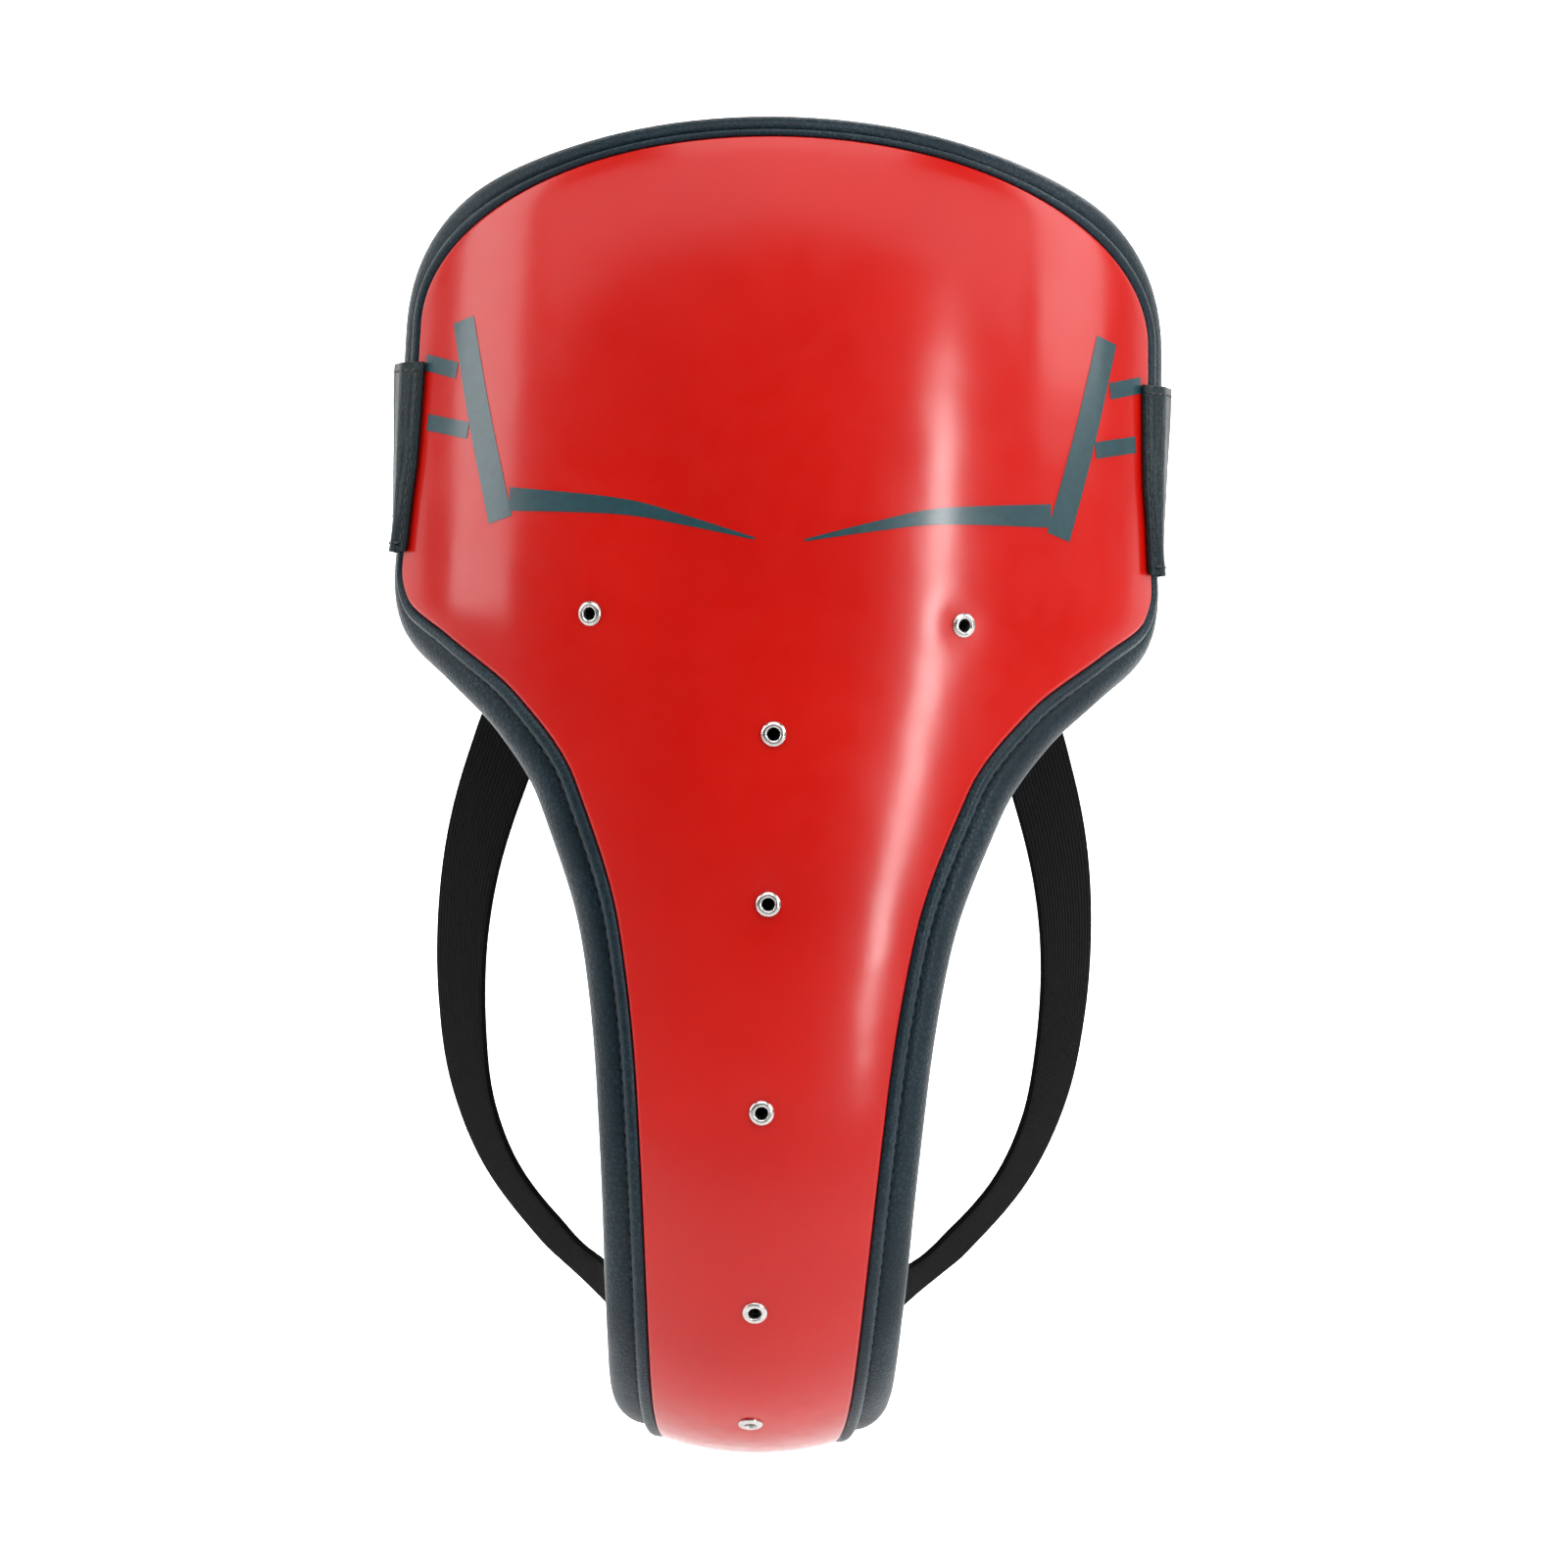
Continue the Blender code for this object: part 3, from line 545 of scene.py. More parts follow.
def woven(name, colour, lift, rib, pick, roughness=0.88, sheen=0.08, shine=0.15):
    """Woven elastic: ribs that run along it, crossed by finer picks, with a soft fuzz."""
    m = Nodes(
        name, colour, roughness,
        Sheen_Weight=sheen, Sheen_Roughness=0.45, Specular_IOR_Level=shine,
    )
    flat = m.place("UV")
    ribs = m.wave(flat, WAVE_PERIOD / rib, "X")
    picks = m.wave(flat, WAVE_PERIOD / pick, "Y")
    split = m.add("ShaderNodeSeparateXYZ")
    m.link(flat, split.inputs["Vector"])
    row = m.math("FLOOR", m.math("DIVIDE", split.outputs["X"], rib))
    odd = m.math("MODULO", m.math("ABSOLUTE", row), 2.0)
    even = m.math("SUBTRACT", 1.0, odd)
    other = m.math("SUBTRACT", 1.0, picks)
    braid = m.math("ADD", m.math("MULTIPLY", picks, odd), m.math("MULTIPLY", other, even))
    height = m.math("ADD", m.math("MULTIPLY", ribs, 0.65), m.math("MULTIPLY", braid, 0.35))
    fuzz = m.noise(m.place(), 900, 3)
    tone = m.math("ADD", m.math("MULTIPLY", height, 0.75), m.math("MULTIPLY", fuzz, 0.25))
    m.colour(tone, (0.15, dim(colour, 0.4)), (0.55, colour), (0.95, lift))
    m.bump(m.noise(m.place(), 60, 2), 0.12, 0.0008)
    m.bump(height, 0.75, 0.00030)
    m.bump(fuzz, 0.15, 0.0001)
    return m.material


def nap(name, colour, lift, scale, strength):
    """Hook or loop tape: dense small tufts over a dark ground."""
    m = Nodes(name, colour, 0.95, Sheen_Weight=0.5, Sheen_Roughness=0.6, Specular_IOR_Level=0.2)
    spot = m.place()
    tufts = m.cells(spot, scale, "F1")
    tangle = m.noise(spot, scale * 2.2, 4, 0.7)
    height = m.math("SUBTRACT", m.math("MULTIPLY", tangle, 0.8), tufts)
    m.colour(m.range(height, -0.5, 0.5, 0, 1), (0.2, dim(colour, 0.5)), (0.8, lift))
    m.bump(height, strength, 0.0005)
    return m.material


def thread(name, colour):
    """Twisted sewing thread."""
    m = Nodes(name, colour, 0.6, Sheen_Weight=0.2, Specular_IOR_Level=0.4)
    spot = m.place()
    twist = m.wave(m.place(turn=(0.6, 0.5, 0.4)), 620, "DIAGONAL")
    m.colour(twist, (0.0, dim(colour, 0.55)), (1.0, colour))
    m.bump(twist, 0.5, 0.00008)
    m.bump(m.noise(spot, 2500, 1), 0.1, 0.00005)
    return m.material


def steel():
    """Nickel-plated steel with fine drawn scratches."""
    m = Nodes("nickel_steel", (0.74, 0.73, 0.71), 0.22, Metallic=1.0)
    spot = m.place()
    scratches = m.noise(m.place(scale=(1, 1, 14)), 700, 4, 0.65)
    m.colour(m.noise(spot, 500, 3), (0.3, (0.60, 0.59, 0.57)), (0.7, (0.80, 0.79, 0.77)))
    m.to("Roughness", m.range(scratches, 0.3, 0.75, 0.16, 0.36))
    m.bump(scratches, 0.12, 0.00005)
    return m.material


def moulded_plastic():
    """Black plastic with a fine moulded grit."""
    m = Nodes("moulded_black_plastic", (0.025, 0.026, 0.028), 0.48)
    spot = m.place()
    grit = m.noise(spot, 1400, 3, 0.6)
    m.to("Roughness", m.range(m.noise(spot, 60, 3), 0.3, 0.7, 0.40, 0.58))
    m.colour(grit, (0.3, (0.018, 0.019, 0.020)), (0.7, (0.034, 0.035, 0.038)))
    m.bump(grit, 0.25, 0.00012)
    return m.material


def printed():
    """The print on the cover: a dark teal ink, worn a little, under the cover's own gloss."""
    m = Nodes(
        "teal_print", (0.010, 0.060, 0.075), 0.36,
        Coat_Weight=0.8, Coat_Roughness=0.16, Coat_IOR=1.40,
    )
    spot = m.place()
    worn = m.noise(spot, 420, 5, 0.65)
    m.colour(
        worn, (0.30, (0.024, 0.040, 0.048)), (0.42, (0.009, 0.052, 0.066)),
        (0.75, (0.013, 0.072, 0.088)),
    )
    m.bump(m.noise(spot, 75, 2), 0.10, 0.0006)
    m.bump(m.noise(spot, 1300, 2), 0.06, 0.00010)
    return m.material


RED = red_leather()
PAD = dark_leather("pad_leather_grain", (0.005, 0.022, 0.034), (0.014, 0.042, 0.059))
BINDING = dark_leather(
    "binding_leather_grain", (0.006, 0.025, 0.038), (0.017, 0.049, 0.068), 0.38, 760, 0.12
)
TAB = dark_leather("tab_leather_grain", (0.011, 0.025, 0.031), (0.024, 0.046, 0.056), 0.46, 700)
BELT = woven("belt_elastic_weave", (0.017, 0.028, 0.033), (0.040, 0.056, 0.062), 0.0013, 0.0009)
STRAP = woven(
    "strap_elastic_weave", (0.006, 0.006, 0.007), (0.014, 0.014, 0.015), 0.0011, 0.0008,
    roughness=0.92, sheen=0.0, shine=0.08,
)
LOOP = nap("loop_tape_nap", (0.012, 0.012, 0.013), (0.035, 0.035, 0.037), 900, 0.9)
HOOK = nap("hook_tape_hooks", (0.010, 0.010, 0.011), (0.045, 0.045, 0.048), 620, 0.7)
THREAD = thread("dark_thread", (0.020, 0.036, 0.044))
BLACK_THREAD = thread("black_thread", (0.030, 0.030, 0.032))
STEEL = steel()
PLASTIC = moulded_plastic()
PRINT = printed()


def dress(node, material):
    """Gives a CAD node that stays a better material."""
    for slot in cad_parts[node].material_slots:
        slot.material = material


# ---- rivets and the cover
RIVET_COUNT = 7
RIVET_HEAD = 2.75
RIVET_SIDES = 48
# The turned profile, (radius, depth) in millimetres.
RIVET_PROFILE = (
    (3.15, -1.45), (3.30, -1.60), (3.34, -1.85), (3.22, -2.15), (2.95, -2.42), (2.55, -2.60),
    (2.25, -2.66), (1.98, -2.58), (1.76, -2.38), (1.62, -2.10), (1.54, -1.60), (1.50, -0.8),
    (1.50, 4.9), (2.6, 4.9), (1.8, 4.4), (1.8, -1.45),
)
DENT_DEPTH = 0.00038
DENT_REACH = 0.0052
COVER_EDGE = ((0.45, -1.57), (0.85, -1.42), (1.15, -1.15), (1.35, -0.78), (1.4, -0.35))
HOLE_R = 0.0019
HOLE_SIDES = 20
HOLE_DEPTH = 0.008


def rivet_frames():
    """Each CAD rivet's node, its centre on the plate's front face, and the way into the plate."""
    frames = []
    for k in range(1, RIVET_COUNT + 1):
        node = f"rivet_{k}"
        co = np.array([v.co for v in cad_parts[node].data.vertices], float)
        centre = co.mean(0)
        values, ways = np.linalg.eigh((co - centre).T @ (co - centre))
        lone = 0 if values[2] - values[1] < values[1] - values[0] else 2
        way = ways[:, lone]
        if way[1] < 0 or (abs(way[1]) < 0.05 and way[2] < 0):
            way = -way
        head = (co @ way).min()
        start = centre + way * (head - centre @ way) + way * (RIVET_HEAD * MM)
        frames.append((node, start, way))
    return frames


RIVETS = rivet_frames()


def build_rivets():
    faces = tube_faces(RIVET_SIDES, len(RIVET_PROFILE), closed=True)
    for node, start, way in RIVETS:
        turn = Vector(way).to_track_quat("Z", "Y").to_matrix()
        points = []
        for k in range(RIVET_SIDES):
            a = 2 * math.pi * k / RIVET_SIDES
            for radius, height in RIVET_PROFILE:
                local = Vector((radius * math.cos(a), radius * math.sin(a), height)) * MM
                points.append(turn @ local + Vector(start))
        made = finish_mesh(new_object(f"{node}_fine", points, faces), STEEL, sharp=50)
        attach(made, "guard")
        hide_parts(node)


def dents(points):
    """How far the cover is pulled in near each rivet."""
    deep = np.zeros(points.shape[:-1])
    for _, start, _ in RIVETS:
        far = np.linalg.norm(points - start, axis=-1)
        deep += DENT_DEPTH * np.exp(-((far / DENT_REACH) ** 2))
    return deep


def build_cover():
    grid = shield_grid(132, 36)
    rim = Rim(grid)
    station, angle = grid
    front = behind(station, angle, COVER_FRONT)
    front = behind(station, angle, COVER_FRONT + dents(front))
    back = behind(station, angle, -SKIN_GAP)
    points, faces = layered(front, [rim.loop(*p) for p in COVER_EDGE], back)
    made = finish_mesh(new_object("shield_cover", points, faces), RED)
    work = bmesh.new()
    for _, start, way in RIVETS:
        turn = Vector(way).to_track_quat("Z", "Y").to_matrix().to_4x4()
        bmesh.ops.create_cone(
            work, cap_ends=True, segments=HOLE_SIDES, radius1=HOLE_R, radius2=HOLE_R,
            depth=HOLE_DEPTH, matrix=Matrix.Translation(start) @ turn,
        )
    mesh = bpy.data.meshes.new("drills")
    work.to_mesh(mesh)
    work.free()
    drill = add_object("drills", mesh)
    holes = made.modifiers.new("Holes", "BOOLEAN")
    holes.operation, holes.solver, holes.object = "DIFFERENCE", "EXACT", drill
    bake(made)
    bpy.data.objects.remove(drill)
    made.data.shade_smooth()
    made.data.set_sharp_from_angle(angle=math.radians(60))
    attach(made, "guard")
    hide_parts("cover")


# Generic print, as (station, x, width) along each mark's middle, mirrored left and right.
MARKS = {
    "band": ((0.049, 0.0838, 0.0078), (0.075, 0.0786, 0.0078), (0.102, 0.0722, 0.0078)),
    "brow": (
        (0.0965, 0.0700, 0.0062), (0.0981, 0.0412, 0.0042), (0.1012, 0.0251, 0.0026),
        (0.1056, 0.0064, 0.0006),
    ),
    "bar_upper": ((0.0625, 0.0850, 0.0044), (0.0600, 0.0935, 0.0044)),
    "bar_lower": ((0.0785, 0.0815, 0.0044), (0.0760, 0.0925, 0.0044)),
}
MARK_ROWS = 36
MARK_COLUMNS = 7
MARK_LIFT = 0.00010
MARK_LIFT_STEP = 0.00001


def build_marks():
    """Each mark as a thin skin over the cover, each a little above the one before it."""
    for side, word in ((-1, "left"), (1, "right")):
        for number, (name, knots) in enumerate(MARKS.items()):
            knots = catmull(knots, 12)
            t = np.linspace(0, len(knots) - 1, MARK_ROWS)
            station, x, width = (np.interp(t, range(len(knots)), knots[:, k]) for k in range(3))
            angle = angle_at(station, x)
            ahead = surface(station, angle + 1e-3) - surface(station, angle)
            radius = np.linalg.norm(ahead, axis=-1) / 1e-3
            way = unit(np.stack([np.gradient(station), np.gradient(angle) * radius], -1))
            deep = COVER_FRONT - MARK_LIFT - MARK_LIFT_STEP * number
            columns = []
            for c in np.linspace(-0.5, 0.5, MARK_COLUMNS):
                s = station - way[:, 1] * width * c
                a = angle + way[:, 0] * width * c / radius
                columns.append(behind(s, side * a, deep))
            points = np.stack(columns, 1).reshape(-1, 3)
            made = new_object(f"print_{name}_{word}", points, grid_faces(MARK_ROWS, MARK_COLUMNS))
            made.data.shade_smooth()
            made.data.materials.append(PRINT)
            flip = outward(station[5:6], side * angle[5:6])[0]
            if made.data.polygons[0].normal.dot(Vector(flip)) < 0:
                made.data.flip_normals()
            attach(made, "guard")


# ---- the pad
PAD_PROFILE = (
    (2.0, 15.95), (4.5, 15.8), (7.2, 15.4), (9.8, 14.8), (12.4, 13.8), (14.7, 12.2), (16.2, 9.9),
    (16.7, 7.2), (16.2, 4.6), (14.8, 2.3), (12.6, 0.75), (10.2, 0.0), (8.0, -0.1), (6.3, 0.55),
    (5.2, 1.7),
)
PAD_ROWS = 66
PAD_HALF_COLUMNS = 17
# Where the back is sewn down: across it at these stations, and in a ring this far in from its edge.
CHANNEL_STATIONS = (0.088, 0.140, 0.205, 0.275, 0.345)
RING_ROWS = 3
RING_COLUMNS = 5
SEAM_DEPTH = 0.0016
SEAM_CREASE = 0.85
SEAM_THREAD_DEPTH = 0.0013
# What holds the cover while it swells: (profile place, hold), and the reach round each strap's end.
RIM_HOLD = ((0, 3, 12, 13), (0.35, 0.0, 0.0, 1.0))
PATCH_HOLD = (0.015, 0.022)
CLOTH = {
    "quality": 6, "mass": 0.02, "tension_stiffness": 12, "compression_stiffness": 12,
    "shear_stiffness": 5, "bending_stiffness": 0.3, "air_damping": 1.0, "use_pressure": True,
    "uniform_pressure_force": 45.0, "vertex_group_mass": "held",
}
SWELL_FRAMES = 20
SWELL_BACK = 0.0022
SWELL_RIM = 0.0011


def swell(made, start, hold, limit):
    """Swells the pad by a short cloth simulation. limit softly caps each point's travel."""
    group = made.vertex_groups.new(name="held")
    for k, w in enumerate(hold):
        if w > 0.001:
            group.add([k], float(w), "REPLACE")
    cloth = made.modifiers.new("Cloth", "CLOTH")
    for key, value in CLOTH.items():
        setattr(cloth.settings, key, value)
    cloth.settings.effector_weights.gravity = 0
    cloth.collision_settings.use_collision = False
    cloth.point_cache.frame_start = 1
    cloth.point_cache.frame_end = SWELL_FRAMES
    for number in range(1, SWELL_FRAMES + 1):
        bpy.context.scene.frame_set(number)
    graph = bpy.context.evaluated_depsgraph_get()
    swelled = np.array([v.co for v in made.evaluated_get(graph).data.vertices], float)
    made.modifiers.clear()
    bpy.context.scene.frame_set(1)
    moved = swelled - start
    size = np.linalg.norm(moved, axis=1)
    moved *= (limit * np.tanh(size / limit) / np.maximum(size, 1e-9))[:, None]
    for v, p in zip(made.data.vertices, start + moved):
        v.co = p
    made.vertex_groups.clear()


def build_pad():
    """The padded back and rolled rim, swelled between its seams."""
    grid = shield_grid(PAD_ROWS, PAD_HALF_COLUMNS)
    rim = Rim(grid)
    station, angle = grid
    back = behind(station, angle, PAD_BACK)
    off = -outward(station, angle)
    loops = [rim.loop(*p) for p in PAD_PROFILE]
    start, faces = layered(back, loops)

    last_column = 2 * PAD_HALF_COLUMNS
    channels = [int(np.argmin(np.abs(station[:, 0] - s))) for s in CHANNEL_STATIONS]
    seam_rows = [RING_ROWS, PAD_ROWS - RING_ROWS, *channels]
    seam_columns = [RING_COLUMNS, last_column - RING_COLUMNS]
    down = slice(RING_ROWS, PAD_ROWS - RING_ROWS + 1)
    across = slice(RING_COLUMNS, last_column - RING_COLUMNS + 1)
    seam = np.zeros(station.shape, bool)
    seam[seam_rows, across] = True
    seam[down, seam_columns] = True
    start[: seam.size] -= off.reshape(-1, 3) * (seam.ravel() * SEAM_DEPTH)[:, None]

    made = new_object("pad", start, faces)
    turn_faces_out(made)
    row, column = PAD_ROWS // 2, PAD_HALF_COLUMNS
    probe = made.data.polygons[row * last_column + column]
    if probe.normal.dot(Vector(off[row, column])) < 0:
        made.data.flip_normals()
    held = seam.astype(float)
    for (s0, x0), (s1, x1) in (STRAP_TOP_PATCH, STRAP_TIP_PATCH):
        at = (s0 + s1) / 2
        middle = behind(at, angle_at(at, (x0 + x1) / 2), PAD_BACK)
        for side in (-1, 1):
            far = np.linalg.norm(back - middle * np.array([side, 1, 1]), axis=-1)
            held = np.maximum(held, 1 - ease(*PATCH_HOLD, far))
    rim_hold = np.interp(np.arange(len(loops)), *RIM_HOLD)
    hold = np.concatenate([held.ravel(), np.repeat(rim_hold, len(rim.point))])
    limit = np.full(len(start), SWELL_RIM)
    limit[: seam.size] = SWELL_BACK
    swell(made, start, hold, limit)

    crease = made.data.attributes.new("crease_edge", "FLOAT", "EDGE")
    on_seam = np.zeros(len(start), bool)
    on_seam[: seam.size] = seam.ravel()
    creases = [SEAM_CREASE if all(on_seam[list(e.vertices)]) else 0.0 for e in made.data.edges]
    crease.data.foreach_set("value", creases)
    subdivide = made.modifiers.new("Fine", "SUBSURF")
    subdivide.levels = subdivide.render_levels = 1
    bake(made)
    close_pad(made)
    made.data.shade_smooth()
    made.data.materials.append(PAD)
    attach(made, "guard")
    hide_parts("pad_cover", "foam_pad")

    lift = behind(station, angle, PAD_BACK - SEAM_THREAD_DEPTH)
    lines = [(lift[r, across], off[r, across]) for r in seam_rows]
    lines += [(lift[down, c], off[down, c]) for c in seam_columns]
    sewn = stitches("pad_seam_stitches", lines, THREAD, 3.6, 2.5, 0.26, -0.1)
    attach(sewn, "guard")


def close_pad(made):
    """Closes the pad's open front with a flat lining just behind the plate."""
    work = bmesh.new()
    work.from_mesh(made.data)
    open_edges = [e for e in work.edges if e.is_boundary]
    bmesh.ops.holes_fill(work, edges=open_edges, sides=0)
    work.to_mesh(made.data)
    work.free()


BINDING_SIDES = 16
BINDING_CENTRE = (3.35, 0.35)
BINDING_SEMI = (2.05, 2.35)


def build_binding():
    rim = Rim(shield_grid(180, 50))
    loops = []
    for k in range(BINDING_SIDES):
        turn = 2 * math.pi * k / BINDING_SIDES
        out = BINDING_CENTRE[0] + BINDING_SEMI[0] * math.cos(turn)
        deep = BINDING_CENTRE[1] + BINDING_SEMI[1] * math.sin(turn)
        loops.append(rim.loop(out, deep))
    faces = tube_faces(BINDING_SIDES, len(rim.point), closed=True)
    made = finish_mesh(new_object("edge_piping", np.concatenate(loops), faces), BINDING)
    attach(made, "guard")
    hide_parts("edge_binding")
    line = rim.loop(5.7, 0.55)
    line = np.vstack([line, line[:1]])
    normal = unit(np.vstack([rim.normal, rim.normal[:1]]))
    sewn = stitches("piping_stitches", [(line, normal)], THREAD, 3.4, 2.4, 0.24, -0.15)
    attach(sewn, "guard")


# ---- waist belt
TAB_LEVELS = 25
TAB_COLUMNS = 30
TAB_LIFT = 0.0021
TAB_RIM_PLACES = ((4.6, 2.9), (10.5, 0.6), (14.5, -0.9))
TAB_EDGE_SWELL = 0.0002
TAB_SEAM_COLUMNS = (2, 26)


def tab_places(side, level):
    """The inner face of a side tab at one height: its points and normals, front to back."""
    station = SPINE_TOP_Z - level
    edge = math.radians(float(smooth(EDGE_ANGLE, station)))
    start = math.radians(float(smooth(SIDE_TAB_FRONT, level)))
    share = float(smooth(RIM_SHARE, station))
    hinge = np.array([side * BELT_HALF_SPAN, BELT_HINGE_Y - BELT_SWING_GAP, 0])
    points, normals = [], []
    for t in (0.0, 0.35, 0.7, 1.0):
        a = side * (start + (edge - start) * t)
        n = outward(station, a)
        points.append(surface(station, a) + n * TAB_LIFT)
        normals.append(n)
    point, n = surface(station, side * edge), outward(station, side * edge)
    out = unit(np.cross(np.array([0, 0, float(side)]), n))
    for out_mm, lift_mm in TAB_RIM_PLACES:
        points.append(point + out * (out_mm * share * MM) + n * (lift_mm * MM))
        normals.append(n)
    for back in (0.004, 0.0):
        points.append(hinge - np.array([side * SIDE_TAB_THICK / 2, back, 0]))
        normals.append(np.array([float(side), 0, 0]))
    points, normals = np.array(points), np.array(normals)
    points[:, 2] = level
    return points, unit(normals)


def build_side_tabs():
    for side, word in ((-1, "left"), (1, "right")):
        inner, outer = [], []
        for level in np.linspace(BELT_HEIGHT / 2, -BELT_HEIGHT / 2, TAB_LEVELS):
            points, normals = tab_places(side, level)
            line, up = resample(catmull(points, 8), 0.0012, catmull(normals, 8))
            pick = np.linspace(0, len(line) - 1, TAB_COLUMNS).round().astype(int)
            inner.append(line[pick])
            outer.append(line[pick] + unit(up[pick]) * SIDE_TAB_THICK)
        inner, outer = np.array(inner), np.array(outer)
        i, j = edge_walk(*inner.shape[:2])
        soft = inner[i, j] * 0.5 + outer[i, j] * 0.5
        soft = soft + unit(soft - outer.reshape(-1, 3).mean(0)) * TAB_EDGE_SWELL
        points, faces = layered(outer, [soft], inner)
        made = finish_mesh(new_object(f"side_tab_{word}_leather", points, faces), TAB)
        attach(made, "guard")
        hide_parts(f"side_tab_{word}")
        normal = unit(np.cross(np.gradient(outer, axis=0), np.gradient(outer, axis=1)))
        if np.einsum("ijk,ijk->ij", normal, outer - inner).mean() < 0:
            normal = -normal
        lines = [(outer[1:-1, c], normal[1:-1, c]) for c in TAB_SEAM_COLUMNS]
        span = slice(TAB_SEAM_COLUMNS[0], TAB_SEAM_COLUMNS[1] + 1)
        lines += [(outer[r, span], normal[r, span]) for r in (1, -2)]
        sewn = stitches(f"side_tab_{word}_stitches", lines, BLACK_THREAD, 3.0, 2.2, 0.24, 0.0)
        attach(sewn, "guard")


def belt_point(side, turn, offset):
    """Points and outward normals of the belt's curve: turn is 0 at the side, pi/2 at the back."""
    turn = np.asarray(turn, float)
    across, back = side * np.cos(turn), np.sin(turn)
    normal = unit(np.stack([across / BELT_HALF_SPAN, back / BELT_BACK_REACH, 0 * turn], -1))
    x, y = BELT_HALF_SPAN * across, BELT_TURN_Y + BELT_BACK_REACH * back
    return np.stack([x, y, 0 * turn], -1) + normal * np.asarray(offset, float)[..., None], normal


def lap_offset(x):
    """How far outside the right half the left one runs, from where it starts to rise to the tab."""
    return LAP_OFFSET * ease(*LAP_RAMP_X, x)


BELT_TUCK = 0.0021
BELT_TUCK_START = -0.011
BELT_TUCK_SPAN = (-0.001, 0.010)


def build_belt():
    """Both halves of the elastic, each from under its side tab to the closure."""
    up = np.array([0, 0, BELT_HEIGHT])
    for side, word, end_x in ((-1, "left", -0.0112), (1, "right", 0.003)):
        ys = np.linspace(BELT_HINGE_Y + BELT_TUCK_START, BELT_TURN_Y, 46)[:-1]
        tuck = BELT_TUCK * (1 - ease(*np.add(BELT_HINGE_Y, BELT_TUCK_SPAN), ys))
        straight = np.stack([side * (BELT_HALF_SPAN - tuck), ys, 0 * ys], -1)
        turns = np.linspace(0, math.acos(side * end_x / BELT_HALF_SPAN), 70)
        x = side * BELT_HALF_SPAN * np.cos(turns)
        place, normal = belt_point(side, turns, lap_offset(x) if side < 0 else 0.0)
        centres = np.vstack([straight, place])
        normals = np.vstack([np.tile([float(side), 0, 0], (len(ys), 1)), normal])
        widths = np.tile(up, (len(centres), 1))
        made = webbing(f"belt_{word}_elastic", centres, widths, normals, BELT_THICK, BELT)
        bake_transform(made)
        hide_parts(f"belt_{word}")


def back_line(x, offset):
    """Points of the back curve at these x places, with outward normals."""
    return belt_point(1, np.arccos(np.asarray(x) / BELT_HALF_SPAN), offset)


TAB_START_X = -0.026
TAB_THICK = 0.0018
TAB_HEIGHT = BELT_HEIGHT + 0.0016
TAB_STEP = 0.0020
TAB_STEP_SPAN = (-0.0115, -0.0015)
TAB_SEAM_Z = 0.0225
TAB_SEAM_END_X = 0.041
TAPE_THICK = 0.0012
TAPE_HEIGHT = 0.042
TAPE_SEAM_Z = 0.0195
TAPE_STEPS = 40


def build_closure():
    """The leather tab sewn over the end of the belt's left half, and the two tapes."""
    x = np.linspace(TAB_START_X, TAB_END_X, 90)
    lap = np.where(x < PEEL_X, lap_offset(x), LAP_OFFSET)
    centres, normals = back_line(x, lap + TAB_STEP * (1 - ease(*TAB_STEP_SPAN, x)))
    past = np.maximum(TAB_TIP_ROUND - (TAB_END_X - x), 0)
    trim = TAB_TIP_ROUND - np.sqrt(np.maximum(TAB_TIP_ROUND**2 - past**2, 0))
    widths = np.stack([0 * x, 0 * x, TAB_HEIGHT - 2 * trim], -1)
    tab = webbing("closure_tab_leather", centres, widths, normals, TAB_THICK, PAD)
    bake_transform(tab)
    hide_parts("closure_tab")
    face = centres + normals * (TAB_THICK / 2)
    keep = x < TAB_SEAM_END_X
    lines = [(face[keep] + np.array([0, 0, z]), normals[keep]) for z in (-TAB_SEAM_Z, TAB_SEAM_Z)]
    sewn = stitches("closure_edge_stitches", lines, THREAD, 3.2, 2.3, 0.24, 0.0)
    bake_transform(sewn)
    z = np.linspace(-TAB_SEAM_Z, TAB_SEAM_Z, 20)
    rows = []
    for at in (-0.0235, -0.0150):
        k = int(np.argmin(np.abs(x - at)))
        rows.append((face[k] + np.stack([0 * z, 0 * z, z], -1), np.tile(normals[k], (len(z), 1))))
    cross = stitches("closure_cross_stitches", rows, THREAD, 3.0, 2.2, 0.24, 0.0)
    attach(cross, "waist_belt_left")
    for name, span, offset, material, body in (
        ("loop_tape", (0.008, 0.056), 0.0019, LOOP, "waist_belt_right"),
        ("hook_tape", (0.011, 0.044), 0.0035, HOOK, "closure"),
    ):
        centres, normals = back_line(np.linspace(*span, TAPE_STEPS), offset)
        widths = np.tile([0, 0, TAPE_HEIGHT], (TAPE_STEPS, 1))
        tape = webbing(f"{name}_nap", centres, widths, normals, TAPE_THICK, material)
        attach(tape, body)
        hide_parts(name)
        if name == "loop_tape":
            face, normals = (centres + normals * (TAPE_THICK / 2))[1:-1], normals[1:-1]
            lines = [(face + np.array([0, 0, z]), normals) for z in (-TAPE_SEAM_Z, TAPE_SEAM_Z)]
            sewn = stitches("loop_tape_stitches", lines, BLACK_THREAD, 3.0, 2.2, 0.22, 0.0)
            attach(sewn, body)


# ---- leg straps
PATCH_LIFT = 0.0012
STRAP_SEAM = 0.40


